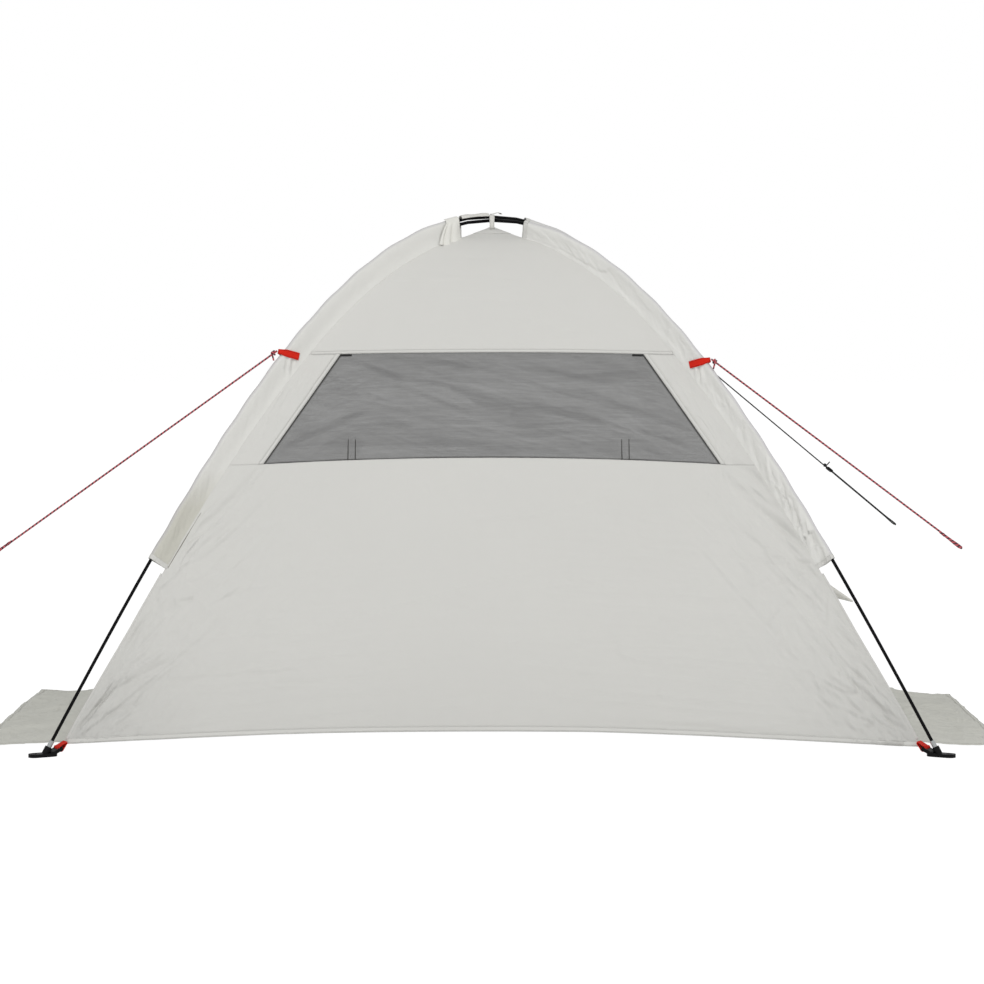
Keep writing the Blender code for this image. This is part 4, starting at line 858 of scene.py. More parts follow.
# Walls: how they bow, the window's edges and every fold of the rear wall
wall = {
    "thickness": 0.0007, "rearSag": 0.100, "rearLift": 0.0134, "sideSag": 0.040,
    "browSag": 0.050, "browLift": 0.035, "browShare": 0.40,
    "windowBottom": 0.645, "windowTop": 0.898, "bottomHalf": 0.530, "topHalf": 0.355,
    "bottomRise": 0.009, "droopLeft": 0.005, "droopRight": 0.011, "droopShare": 0.060,
    # x, z of a crease's two ends, its half width and depth
    "creases": (
        (-0.547, 0.622, -0.726, 0.442, 0.010, -0.0042), (-0.598, 0.520, -0.692, 0.431, 0.009, -0.0030),
        (-0.517, 0.565, -0.635, 0.430, 0.014, -0.0025), (-0.781, 0.342, -0.580, 0.497, 0.013, -0.0028),
        (-0.828, 0.253, -0.657, 0.374, 0.016, -0.0026), (-0.560, 0.640, -0.680, 0.500, 0.012, 0.0022),
        (0.545, 0.652, 0.632, 0.612, 0.009, -0.0040), (0.556, 0.595, 0.660, 0.548, 0.010, -0.0034),
        (0.608, 0.548, 0.716, 0.476, 0.010, -0.0036), (0.700, 0.490, 0.764, 0.405, 0.009, -0.0040),
        (0.686, 0.476, 0.764, 0.405, 0.008, 0.0026), (0.792, 0.342, 0.708, 0.431, 0.012, -0.0026),
        (0.839, 0.231, 0.706, 0.341, 0.014, -0.0024), (0.480, 0.858, 0.493, 0.824, 0.006, -0.0030),
        (0.494, 0.863, 0.506, 0.796, 0.006, 0.0026), (-0.501, 0.877, -0.491, 0.851, 0.006, -0.0026),
        (0.613, 0.615, 0.736, 0.462, 0.0090, -0.0048), (0.574, 0.573, 0.686, 0.490, 0.0090, -0.0038),
        (0.656, 0.513, 0.748, 0.429, 0.0070, -0.0038), (0.545, 0.630, 0.620, 0.560, 0.0080, 0.0026),
        (0.590, 0.545, 0.700, 0.440, 0.0080, -0.0034), (0.640, 0.600, 0.725, 0.500, 0.0060, 0.0034),
        (-0.743, 0.299, -0.798, 0.238, 0.0060, 0.0036), (-0.783, 0.240, -0.844, 0.184, 0.0060, 0.0036),
        (-0.733, 0.208, -0.869, 0.135, 0.0075, -0.0050), (-0.751, 0.226, -0.878, 0.153, 0.0060, 0.0034),
        (-0.803, 0.287, -0.879, 0.149, 0.0070, -0.0038), (-0.844, 0.149, -0.919, 0.092, 0.0060, -0.0040),
        (-0.800, 0.114, -0.925, 0.070, 0.0060, -0.0036), (-0.869, 0.135, -0.935, 0.060, 0.0055, -0.0040),
        (0.795, 0.175, 0.892, 0.097, 0.0060, -0.0044), (0.818, 0.186, 0.903, 0.114, 0.0055, -0.0040),
        (0.841, 0.202, 0.892, 0.141, 0.0055, -0.0038), (0.790, 0.152, 0.914, 0.081, 0.0060, -0.0044),
        (0.739, 0.141, 0.841, 0.092, 0.0070, -0.0036), (0.860, 0.100, 0.940, 0.050, 0.0055, -0.0040),
        (0.806, 0.190, 0.880, 0.120, 0.0050, 0.0030), (0.700, 0.300, 0.790, 0.180, 0.0080, -0.0026),
        (0.900, 0.135, 0.950, 0.040, 0.0045, -0.0034), (-0.895, 0.140, -0.942, 0.048, 0.0045, -0.0034),
        (-0.450, 0.900, -0.380, 0.760, 0.016, 0.0022), (0.440, 0.880, 0.400, 0.740, 0.016, 0.0020),
    ),
    # centre x, z, reach, how many folds fan out, their depth and turn
    "fans": ((-0.960, 0.020, 0.46, 5.0, 0.0090, 0.4), (0.960, 0.020, 0.46, 5.5, 0.0078, 0.9),
             (-0.955, 0.020, 0.25, 3.5, 0.0044, 1.3), (0.955, 0.020, 0.30, 3.5, 0.0050, 1.7),
             (-0.775, 0.425, 0.30, 5.0, 0.0028, 2.1), (0.775, 0.425, 0.34, 6.0, 0.0040, 0.5),
             (0.500, 0.880, 0.12, 4.0, 0.0012, 0.3), (-0.500, 0.885, 0.12, 4.0, 0.0012, 0.8),
             (0.530, 0.650, 0.16, 3.0, 0.0014, 0.6)),
    "fields": (
        (-0.68, 0.46, 0.20, 44, 0.20, 0.040, 0.0030, 1), (-0.80, 0.28, 0.17, 52, 0.20, 0.040, 0.0028, 2),
        (-0.90, 0.11, 0.15, 58, 0.12, 0.020, 0.0034, 3), (0.71, 0.47, 0.16, -44, 0.16, 0.032, 0.0036, 4),
        (0.80, 0.26, 0.14, -52, 0.16, 0.028, 0.0032, 5), (0.87, 0.14, 0.15, -50, 0.10, 0.016, 0.0038, 6),
        (0.00, 0.30, 0.60, 12, 0.50, 0.220, 0.0010, 17), (-0.47, 0.80, 0.12, 58, 0.13, 0.026, 0.0014, 8),
        (0.47, 0.80, 0.12, -58, 0.13, 0.026, 0.0018, 9), (-0.50, 0.05, 0.30, 4, 0.30, 0.022, 0.0014, 10),
        (0.45, 0.05, 0.35, -4, 0.30, 0.022, 0.0014, 11), (0.00, 1.00, 0.25, 0, 0.25, 0.060, 0.0010, 12)),
}


# One fold along a line: depth exp(-(distance / width)^2), fading over its ends
def foldAlong(x, z, fold):
    x0, z0, x1, z1, width, depth = fold
    length = math.hypot(x1 - x0, z1 - z0)
    dx, dz = (x1 - x0) / length, (z1 - z0) / length
    along = ((x - x0) * dx + (z - z0) * dz) / length
    off = (x - x0) * dz - (z - z0) * dx
    bend = 0.25 * width * np.sin(5 * along)
    fade = smoothStep((along + 0.15) / 0.3) * smoothStep((1.15 - along) / 0.3)
    return depth * fade * np.exp(-((off + bend) / width) ** 2)


# Creases that fan out from a point: noise over the angle (count cells to a radian) and radius
def foldFan(x, z, fan):
    cx, cz, reach, count, depth, turn = fan
    r = np.hypot(x - cx, z - cz) / reach
    angle = np.arctan2(z - cz, x - cx)
    near = smoothStep(r / 0.12) * np.exp(-(r / 0.62) ** 2)
    return depth * near * creased(count * angle + 7 * turn, 1.6 * r + 3 * turn, int(10 * turn))


# A relief with folds, fans and fields of creases added to it
def withFolds(relief, x, z, folds=(), fans=(), fields=()):
    for make, shapes in ((foldAlong, folds), (foldFan, fans), (creaseField, fields)):
        for shape in shapes:
            relief = relief + make(x, z, shape)
    return relief


def rearRelief(x, z, u):
    relief = 0.0010 * np.sin(3.1 * x + 5 * z) * np.sin(4.3 * z - 1.3 * x + 0.4)
    relief += 0.0006 * np.sin(11 * x - 7 * z) * np.sin(6 * z + 2)
    relief = withFolds(relief, x, z, wall["creases"], wall["fans"], wall["fields"])
    return relief * smoothStep((1 - np.abs(u)) / 0.03)


# Rear wall: x = u share span, y and z bow inwards and up by (share - dip)(1 - u^2)
def rearSurface(x, share, relief=True, offset=0.0):
    u = np.clip(x / (share * tent["halfSpan"]), -1, 1)
    bow = np.maximum(0.0, share - tent["dip"]) * (1 - u ** 2)
    # the hem hangs a little lower towards both feet
    droop = wall["droopLeft"] * smoothStep((-u - 0.3) / 0.7)
    droop = droop + wall["droopRight"] * smoothStep((u - 0.1) / 0.9)
    droop = droop * smoothStep((share - hemShare + wall["droopShare"]) / wall["droopShare"])
    points = np.stack([x + 0.6 * droop * u,
                       -share * tent["halfDepth"] + wall["rearSag"] * bow - 0.36 * droop,
                       seamHeight(share) + wall["rearLift"] * bow - droop], axis=-1)
    normal = gridNormals(points)
    lift = offset + (rearRelief(x, points[..., 2], u) if relief else 0.0)
    return points + normal * np.broadcast_to(lift, x.shape)[..., None]


windowLow = float(shareAtHeight(wall["windowBottom"]))
windowHigh = float(shareAtHeight(wall["windowTop"]))


def windowHalf(share):
    rise = (seamHeight(share) - wall["windowBottom"]) / (wall["windowTop"] - wall["windowBottom"])
    return wall["bottomHalf"] + rise * (wall["topHalf"] - wall["bottomHalf"])


# The window's bottom edge rises a little between its corners
def windowLowAt(x):
    return windowLow - wall["bottomRise"] / 1.9 * np.clip(1 - (x / wall["bottomHalf"]) ** 2, 0, 1)


def seamX(share):
    return share * tent["halfSpan"]


def addCloth(name, grid, finish, nodes, body="tent",
             thickness=None):
    mesh = surfaceMesh(name, grid, gridUv(grid))
    piece = addPiece(name, mesh, finish, nodes, body, thickness or wall["thickness"])
    return piece


def addRearWall():
    rows = np.linspace(0, 1, 150)[:, None]
    w = np.linspace(-1, 1, 380)[None, :]
    w = 1.3 * w - 0.3 * w ** 3
    # lower panel: up to the window's bottom edge, level beside it
    x = w * seamX(hemShare) + 0 * rows
    for _ in range(3):
        top = np.where(np.abs(x) < wall["bottomHalf"], windowLowAt(x), windowLow)
        share = hemShare + rows * (top - hemShare)
        x = w * seamX(share)
    addCloth("rearWallLower", rearSurface(x, share), finishes["canopy"], ["rear_wall_lower"])
    # upper panel: from the window's top edge to the crown
    rows = 1 - (1 - np.linspace(0, 1, 90)[:, None]) ** 1.2
    share = windowHigh + rows * (tent["panelTop"] - windowHigh) + 0 * w[:, ::2]
    x = w[:, ::2] * seamX(share)
    addCloth("rearWallUpper", rearSurface(x, share), finishes["canopy"], ["rear_wall_upper"])
    for name, side in sides:
        rows = np.linspace(0, 1, 90)[:, None]
        w2 = np.linspace(0, 1, 50)[None, :]
        share = windowLow + rows * (windowHigh - windowLow) + 0 * w2
        inner = windowHalf(share)
        x = side * (inner + w2 * (seamX(share) - inner))
        grid = rearSurface(x if side > 0 else x[:, ::-1], share if side > 0 else share[:, ::-1])
        addCloth("rearCheek" + name, grid, finishes["canopy"], ["rear_cheek_" + name.lower()])


meshFolds = (
    (-0.271, 0.860, 0.067, 0.781, 0.008, 0.0024), (-0.296, 0.872, -0.214, 0.839, 0.005, 0.0020),
    (-0.327, 0.733, -0.186, 0.735, 0.004, 0.0016), (-0.264, 0.893, -0.046, 0.871, 0.007, 0.0020),
    (-0.493, 0.677, -0.321, 0.756, 0.007, 0.0020), (-0.385, 0.740, -0.304, 0.761, 0.005, 0.0018),
    (0.346, 0.722, 0.447, 0.690, 0.005, 0.0022), (0.160, 0.839, 0.347, 0.858, 0.006, 0.0018),
    (0.067, 0.781, 0.253, 0.747, 0.008, 0.0022), (-0.143, 0.700, 0.160, 0.673, 0.008, 0.0016),
    (0.254, 0.793, 0.461, 0.725, 0.006, 0.0020), (-0.238, 0.828, -0.050, 0.765, 0.006, 0.0020),
    (-0.420, 0.690, -0.050, 0.690, 0.005, 0.0016), (0.050, 0.870, 0.300, 0.830, 0.008, 0.0016),
    (-0.180, 0.845, 0.020, 0.815, 0.004, -0.0016), (-0.100, 0.735, 0.100, 0.720, 0.004, -0.0014),
    (-0.350, 0.800, -0.180, 0.775, 0.004, -0.0014), (0.120, 0.760, 0.330, 0.715, 0.004, -0.0016),
)
meshFields = ((-0.20, 0.80, 0.34, -20, 0.20, 0.013, 0.0011, 61),
              (0.20, 0.78, 0.36, -16, 0.20, 0.012, 0.0011, 62),
              (0.00, 0.675, 0.50, 2, 0.16, 0.007, 0.0009, 63),
              (-0.40, 0.74, 0.16, 24, 0.12, 0.012, 0.0010, 64),
              (0.36, 0.74, 0.18, -30, 0.12, 0.012, 0.0010, 65))


# Netting behind the window's opening, pressed out a little along its own soft folds
def addWindow():
    rows = np.linspace(0, 1, 110)[:, None]
    w = np.linspace(-1, 1, 420)[None, :]
    margin = 0.012
    low, high = windowLow + margin / 1.2, windowHigh - margin / 1.2
    share = low + rows * (high - low) + 0 * w
    x = w * (windowHalf(share) + margin)
    base = rearSurface(x, share, offset=-0.0022)
    z = base[..., 2]
    relief = withFolds(np.zeros(x.shape), x, z, meshFolds, (), meshFields)
    inside = smoothStep((1 - np.abs(w)) / 0.12) * smoothStep(rows / 0.15) * smoothStep((1 - rows) / 0.15)
    grid = base + gridNormals(base) * (relief * inside)[..., None]
    piece = addCloth("windowMesh", grid, finishes["netting"], ["window_mesh"],
                     thickness=0.0004)
    # 1 within a few millimetres of the opening's edge, for the dark sewn rim
    edge = windowHalf(share) - np.abs(x)
    below = (windowLowAt(x) - share) * 1.9
    above = (share - windowHigh) * 1.35
    near = np.minimum(np.minimum(edge * 0.8, below), above + 0.0035)
    rim = smoothStep((0.0070 - near) / 0.0045)
    bound = smoothStep((-0.0010 - np.minimum(np.minimum(edge * 0.8, below), above)) / 0.0012)
    for name, values in (("rim", rim), ("bound", bound), ("fold", np.clip(relief * inside / 0.0022, -1, 1))):
        keepValues(piece, name, values)


trim = {"bindingWidth": 0.012, "seamWidth": 0.0075, "lift": 0.0009}


# A flat tape: rows along its path, columns from one edge to the other, raised in the middle
# and puckered along its stitches
def tapePatch(inner, outer, normals, lift, columns=7, crown=0.0004):
    w = np.linspace(0, 1, columns)[None, :, None]
    grid = inner[:, None] + w * (outer - inner)[:, None]
    along = lengthsAlong(inner)
    pucker = 0.00025 * np.sin(along * 900 + 3 * np.sin(along * 40))[:, None, None]
    raised = lift + (crown + pucker) * np.sin(np.pi * w)
    grid = grid + np.broadcast_to(normals, inner.shape)[:, None] * raised
    uv = np.stack(np.broadcast_arrays(along[:, None], w[0, :, 0][None, :]), axis=-1)
    return grid, uv


def tapeMesh(name, inner, outer, normals, lift, columns=7, crown=0.0004):
    return patchMesh(name, [tapePatch(inner, outer, normals, lift, columns, crown)])


def addBinding():
    share = np.linspace(windowLowAt(np.array([wall["bottomHalf"]]))[0], windowHigh, 90)
    half = windowHalf(share)
    level = float(shareAtHeight(wall["windowTop"] + trim["seamWidth"]))
    across = np.linspace(-0.997, 0.997, 320) * seamX(level)
    edges = ((half, share, half + trim["bindingWidth"], share),
             (-half - trim["bindingWidth"], share, -half, share),
             (across, np.full(320, level), across, np.full(320, windowHigh)))
    out = np.array([0.0, -0.87, 0.50])
    patches = []
    for innerX, innerShare, outerX, outerShare in edges:
        both = np.stack([innerX, outerX], axis=1), np.stack([innerShare, outerShare], axis=1)
        grid = rearSurface(*both, relief=False)
        u = both[0] / (both[1] * tent["halfSpan"])
        grid = grid + rearRelief(both[0], grid[..., 2], u)[..., None] * out
        patches.append(tapePatch(grid[:, 0], grid[:, 1], out, trim["lift"]))
    piece = addPiece("windowBinding", patchMesh("windowBinding", patches), finishes["binding"],
                     ["window_binding"], thickness=0.0005)


hemTape = {"inset": 0.0062, "lift": 0.0005, "thickness": 0.0006}


# A surface's points along an edge, and along a line a little further in
def edgePair(surface, x, share, inset, *side):
    shares = np.stack([np.full(len(x), share), np.full(len(x), share - inset)])
    return surface(np.stack([x, x]), shares, *side)


# Folded hem along an edge, both faces one tape
def addHemTape(name, line, out):
    out = np.array(out) * np.ones((line.shape[1], 1))
    hem = addPiece(name, tapeMesh(name, line[0], line[1], out, hemTape["lift"]),
                   finishes["binding"], thickness=hemTape["thickness"])


def addHem():
    x = np.linspace(-1, 1, 300) * seamX(hemShare) * 0.996
    addHemTape("rearHem", edgePair(rearSurface, x, hemShare, hemTape["inset"]), (0.0, -0.86, 0.51))


sideWall = {
    "fans": ((-0.56, 0.03, 0.34, 9.0, 0.0030, 0.3), (0.56, 0.03, 0.34, 9.0, 0.0030, 0.3),
             (-0.45, 0.40, 0.22, 10.0, 0.0022, 0.7), (0.45, 0.40, 0.22, 10.0, 0.0022, 0.7)),
    "folds": ((-0.36, 0.55, -0.05, 0.12, 0.018, 0.0020), (0.34, 0.60, 0.10, 0.20, 0.020, 0.0018)),
    "fields": ((-0.42, 0.20, 0.20, 55, 0.18, 0.035, 0.0030, 21),
               (0.44, 0.22, 0.20, -55, 0.18, 0.035, 0.0028, 22),
               (-0.36, 0.45, 0.15, 50, 0.15, 0.030, 0.0026, 23),
               (0.38, 0.42, 0.16, -50, 0.15, 0.030, 0.0026, 24),
               (0.00, 0.60, 0.40, 85, 0.50, 0.090, 0.0020, 25),
               (0.05, 0.15, 0.40, 8, 0.40, 0.060, 0.0018, 26)),
}


# Side wall: x = side (share span - sag), y = along share depth, z = the seam's height
def sideSurface(along, share, side):
    rise = np.minimum(1.0, (hemShare - share) / (hemShare - tent["dip"]))
    sag = 4 * wall["sideSag"] * rise * (1 - rise) * (1 - along ** 2)
    points = np.stack([side * (share * tent["halfSpan"] - sag),
                       along * share * tent["halfDepth"],
                       seamHeight(share)], axis=-1)
    y, z = points[..., 1], points[..., 2]
    relief = 0.0012 * np.sin(5 * y + 3 * z) * np.sin(4 * z)
    relief = withFolds(relief, y, z, (), sideWall["fans"])
    relief = withFolds(relief, y, z, sideWall["folds"])
    relief = withFolds(relief, side * y, z, (), (), sideWall["fields"])
    relief = relief * smoothStep((1 - np.abs(along)) / 0.04)
    return points + gridNormals(points) * relief[..., None]


def addSideWalls():
    for name, side in sides:
        rows = 1 - (1 - np.linspace(0, 1, 170)[:, None]) ** 1.15
        share = hemShare + rows * (tent["panelTop"] - hemShare)
        along = side * np.linspace(-1, 1, 180)[None, :] + 0 * share
        grid = sideSurface(along, share + 0 * along, side)
        addCloth("sideWall" + name, grid, finishes["canopy"], ["side_wall_" + name.lower()])
        # hem tape along the ground edge; its lower edge hangs past the hem, over the flap's root
        line = edgePair(sideSurface, np.linspace(-0.985, 0.985, 160) * side, hemShare,
                        hemTape["inset"], side)
        line[0] += np.array([side * 0.0002, 0.0, -0.0012])
        addHemTape("sideHem" + name, line, (side * 0.86, 0.0, 0.5))


# Brow over the entrance: as the rear wall, bowed the other way
def browSurface(x, share):
    u = np.clip(x / (share * tent["halfSpan"]), -1, 1)
    bow = np.maximum(0.0, share - tent["dip"]) * (1 - u ** 2)
    points = np.stack([x, share * tent["halfDepth"] - wall["browSag"] * bow,
                       seamHeight(share) + wall["browLift"] * bow], axis=-1)
    relief = 0.0010 * np.sin(9 * x + 2) * np.sin(7 * points[..., 2])
    for corner in (-0.40, 0.40):
        relief = relief + foldFan(x, points[..., 2], (corner, 0.93, 0.20, 9.0, 0.0024, 0.4))
    relief = relief + creaseField(x, points[..., 2], (0.0, 1.0, 0.4, 10, 0.30, 0.06, 0.0020, 31))
    relief = relief * smoothStep((1 - np.abs(u)) / 0.05)
    return points + gridNormals(points) * relief[..., None]


def addBrow():
    rows = 1 - (1 - np.linspace(0, 1, 80)[:, None]) ** 1.2
    share = wall["browShare"] + rows * (tent["panelTop"] - wall["browShare"])
    w = np.linspace(1, -1, 160)[None, :]
    x = w * seamX(share)
    addCloth("frontBrow", browSurface(x, share + 0 * w), finishes["canopy"], ["front_brow"])
    x = np.linspace(0.99, -0.99, 160) * seamX(wall["browShare"])
    addHemTape("browHem", edgePair(browSurface, x, wall["browShare"], 0.012), (0.0, 0.8, 0.6))


addRearWall()
addWindow()
addBinding()
addHem()
addSideWalls()
addBrow()
print("walls made")


# Pole sleeves
sleeve = {
    "startHeight": 0.435, "endShare": 0.079, "pushed": 0.008, "headRadius": 0.0062, "tail": 0.0004,
    "overlap": 0.0030, "thickness": 0.0005, "hemWidth": 0.011, "hemLift": 0.0009,
    "wrinkle": {"rearLeft": 0.0014, "rearRight": 0.0024, "frontLeft": 0.0020, "frontRight": 0.0024},
    "streak": {"rearLeft": 0.0020, "rearRight": 0.0092, "frontLeft": 0.0020, "frontRight": 0.0024},
    "streakTurn": 21, "streakLong": 0.070, "streakWide": 0.013,
}


def sleeveSpan(corner):
    line = cornerPole[corner]
    low = placeAtHeight(line, sleeve["startHeight"])
    pushed = sleeve["pushed"] if corner == "rearLeft" else 0.0
    high = placeAtRun(line, -sleeve["endShare"] * diagonal - pushed)
    if corners[corner][1] > 0:
        return line["length"] - low, line["length"] - high
    return low, high


# Sleeve: a closed profile round the pole that narrows to the seam, n outwards and b aside.
# n = head cos a on the round side, then -tail s; b = head sin a, then narrowing to the tail
def sleeveGrid(corner, place, grow=0.0):
    line = cornerPole[corner]
    centre, out, _ = poleAt(line, place)
    share = np.abs(centre @ line["heading"]) / diagonal
    above = centre[:, 2] - archHeight(share, tent["crownHeight"])
    tail = seamDrop(share) + above * out[:, 2] + sleeve["overlap"] + grow
    head = sleeve["headRadius"] + grow
    a = np.radians(np.linspace(-90, 90, 11))
    s = np.linspace(0, 1, 17)[1:]
    narrow = sleeve["tail"] + grow
    width = narrow + (head - narrow) * (1 - smoothStep(s * 1.15)) ** 1.2
    count = len(place)
    n = np.concatenate([np.broadcast_to(head * np.cos(a), (count, 11)), -tail[:, None] * s,
                        -tail[:, None] * s[::-1]], axis=1)
    b = np.concatenate([head * np.sin(a), width, -width[::-1]])
    b = np.broadcast_to(b, n.shape).copy()
    foot = np.abs(place - sleeveSpan(corner)[0])[:, None]
    depth = np.clip(-n / tail[:, None], 0, 1)
    fade = np.sin(np.pi * depth) ** 0.8
    below = np.clip(-n, 0, None)
    seed = list(corners).index(corner) + 70
    soft = creased(foot / 0.16, below / 0.06, seed)
    c, w = math.cos(math.radians(sleeve["streakTurn"])), math.sin(math.radians(sleeve["streakTurn"]))
    fine = creased((foot * c - below * w) / sleeve["streakLong"],
                   (below * c + foot * w) / sleeve["streakWide"], seed + 4)
    near = 0.22 + 1.0 * np.exp(-(foot / 0.30) ** 2)
    tab = placeAtRun(line, math.copysign(ropes["tabShares"][corner], corners[corner][1]) * diagonal)
    off = foot - abs(tab - sleeveSpan(corner)[0])
    q, p = 0.64 * off + 0.77 * (below - 0.015), 0.64 * below - 0.77 * off
    b += fade * 0.0060 * np.cos(2 * np.pi * q / 0.017) * np.exp(
        -(q / 0.012) ** 2 - ((p - 0.028) / 0.020) ** 2)
    b += fade * (sleeve["wrinkle"][corner] * soft + sleeve["streak"][corner] * near * fine)
    seat = 0.0009 * np.sin(foot * 61) * (n > 0)
    return (centre[:, None] + (n + seat)[..., None] * out[:, None]
            + b[..., None] * line["side"])


def addSleeves():
    for corner in corners:
        low, high = sleeveSpan(corner)
        grid = sleeveGrid(corner, np.linspace(low, high, 340))
        name = titled(corner)
        mesh = surfaceMesh("sleeve" + name, grid, gridUv(grid, wrap=True), wrap=True)
        if low > high:
            mesh.flip_normals()
        cloth = finishes["sleeveLeft" if corner == "rearLeft" else "sleeve"]
        piece = addPiece("sleeve" + name, mesh, cloth,
                         ["sleeve_" + nodeEnding[corner]],
                         thickness=sleeve["thickness"])
        # 1 on the round side over the pole, where the finish paints shade
        head = np.zeros(grid.shape[:2])
        head[:, :11] = np.cos(np.radians(np.linspace(-90, 90, 11)))
        keepValues(piece, "head", head)
        step = math.copysign(sleeve["hemWidth"], high - low)
        patches = []
        for start in (low - step * 0.05, high - step * 0.95):
            ring = sleeveGrid(corner, np.linspace(start, start + step, 7), sleeve["hemLift"])
            uv = gridUv(ring, wrap=True)[..., ::-1] * np.array([1.0, 1 / sleeve["hemWidth"]])
            patches.append((ring, uv))
        hem = patchMesh("sleeveHems" + name, patches, wrap=True)
        if low > high:
            hem.flip_normals()
        addPiece("sleeveHems" + name, hem, finishes["binding"],
                 thickness=0.0005)


# Loose end of the left sleeve, hanging over its mouth in a fan of pleats. From the top down it
# wraps the pole by a quarter turn, then falls; each pleat is |sin(3 pi w)| and grows with the fall
cuff = {"right": 0.004, "left": 0.036, "spread": 0.032, "arcShare": 0.16, "reach": 0.0094,
        "drop": 0.044, "extra": 0.012, "pleat": 0.0085, "count": 2.6}


def addCuff():
    _, high = sleeveSpan("rearLeft")
    v = np.linspace(0, 1, 90)[:, None]
    w = np.linspace(0, 1, 90)[None, :]
    fall = np.clip((v - cuff["arcShare"]) / (1 - cuff["arcShare"]), 0, 1)
    left = cuff["left"] + cuff["spread"] * fall ** 0.8
    place = high + cuff["right"] - w * left
    centre, out, _ = poleAt(upperPole, place.ravel())
    centre, out = centre.reshape(90, 90, 3), out.reshape(90, 90, 3)
    arc = np.clip(v / cuff["arcShare"], 0, 1) * np.pi / 2
    n = cuff["reach"] * np.cos(arc) - fall * (cuff["drop"] + cuff["extra"] * np.sin(np.pi * w ** 0.8))
    lean = 1 - 0.62 * smoothStep(fall * 1.3)
    fan = np.abs(np.sin(np.pi * cuff["count"] * w ** 1.35)) ** 0.8
    b = cuff["reach"] * np.sin(arc) * lean + cuff["pleat"] * fan * fall ** 0.7 * (1 - 0.3 * fall)
    b = b - 0.004 * smoothStep((w - 0.93) / 0.07) * fall
    grid = centre + n[..., None] * out + b[..., None] * upperPole["side"]
    mesh = surfaceMesh("sleeveCuff", grid[:, ::-1], gridUv(grid))
    piece = addPiece("sleeveCuff", mesh, finishes["cuff"],
                     thickness=0.0006, offset=0.0)


# Painted shadow: a dark band along the seam, for the shadow where the lower end of the left sleeve stands
# off the wall
def addSleeveLine():
    low, _ = sleeveSpan("rearLeft")
    place = np.linspace(low + 0.004, low + 0.155, 80)
    grid = sleeveGrid("rearLeft", place)
    tailEnd = grid[:, 26] - 0.0015 * poleAt(upperPole, place)[1]
    side = upperPole["side"] * np.ones((80, 1))
    line = tailEnd + 0.0016 * side
    mesh = bandMesh("sleeveLine", line, 0.0016, 0.0012, side, 8, 2.0)
    addPiece("sleeveLine", mesh, finishes["paintedSleeveShadow"])


# Felled seam down each corner below the sleeve: a narrow fin that follows the seam
def addCornerSeams():
    for corner, (sideX, sideY) in corners.items():
        share = np.linspace(hemShare - 0.002, float(shareAtHeight(0.40)), 90)
        points = np.stack([sideX * share * tent["halfSpan"], sideY * share * tent["halfDepth"],
                           seamHeight(share)], axis=-1)
        out = unit(np.array([sideX * tent["halfSpan"], sideY * tent["halfDepth"], 0.55 * diagonal]))
        points = points + 0.0012 * out
        across = np.cross(unit(np.array([-sideX * tent["halfSpan"], -sideY * tent["halfDepth"],
                                         1.7])), out)
        mesh = bandMesh("cornerSeam" + titled(corner), points, 0.0060, 0.0016,
                        across, 12, 3.0)
        addPiece(mesh.name, mesh, finishes["seam"])


addSleeves()
addCuff()
addSleeveLine()
addCornerSeams()
print("sleeves made")


# Webbing tabs and corner loops
webbing = {"loopHalf": 0.0125, "thickness": 0.0012, "barX": -0.0301, "barZ": 0.01615,
           "wrapRadius": 0.0062, "tipLength": 0.026, "gap": 0.0012, "turn": 74}


def addTabs():
    reach = ropes["tabReach"]
    half = [(-0.036, 0.0045), (-0.024, 0.0060), (-0.012, 0.0073), (0.0, 0.0077), (0.009, 0.0073),
            (0.0150, 0.0046), (reach - 0.0004, 0.0016)]
    table = half + [(reach, 0.0)] + [(a, -b) for a, b in half[::-1]]
    for corner in corners:
        centre, ahead, across, beside = tabFrame(corner)
        path = smoothRoute([centre + a * ahead + b * beside for a, b in table], 0.0014)
        along = (path - centre) @ ahead
        width = 0.0172 - 0.0064 * smoothStep((along + 0.004) / 0.024)
        name = "guyTab" + titled(corner)
        mesh = bandMesh(name, path, width, webbing["thickness"],
                        np.cross(np.gradient(path, axis=0), across), 16, 6.0)
        addPiece(name, mesh, finishes["redWebbing"], ["guy_tab_" + nodeEnding[corner]])


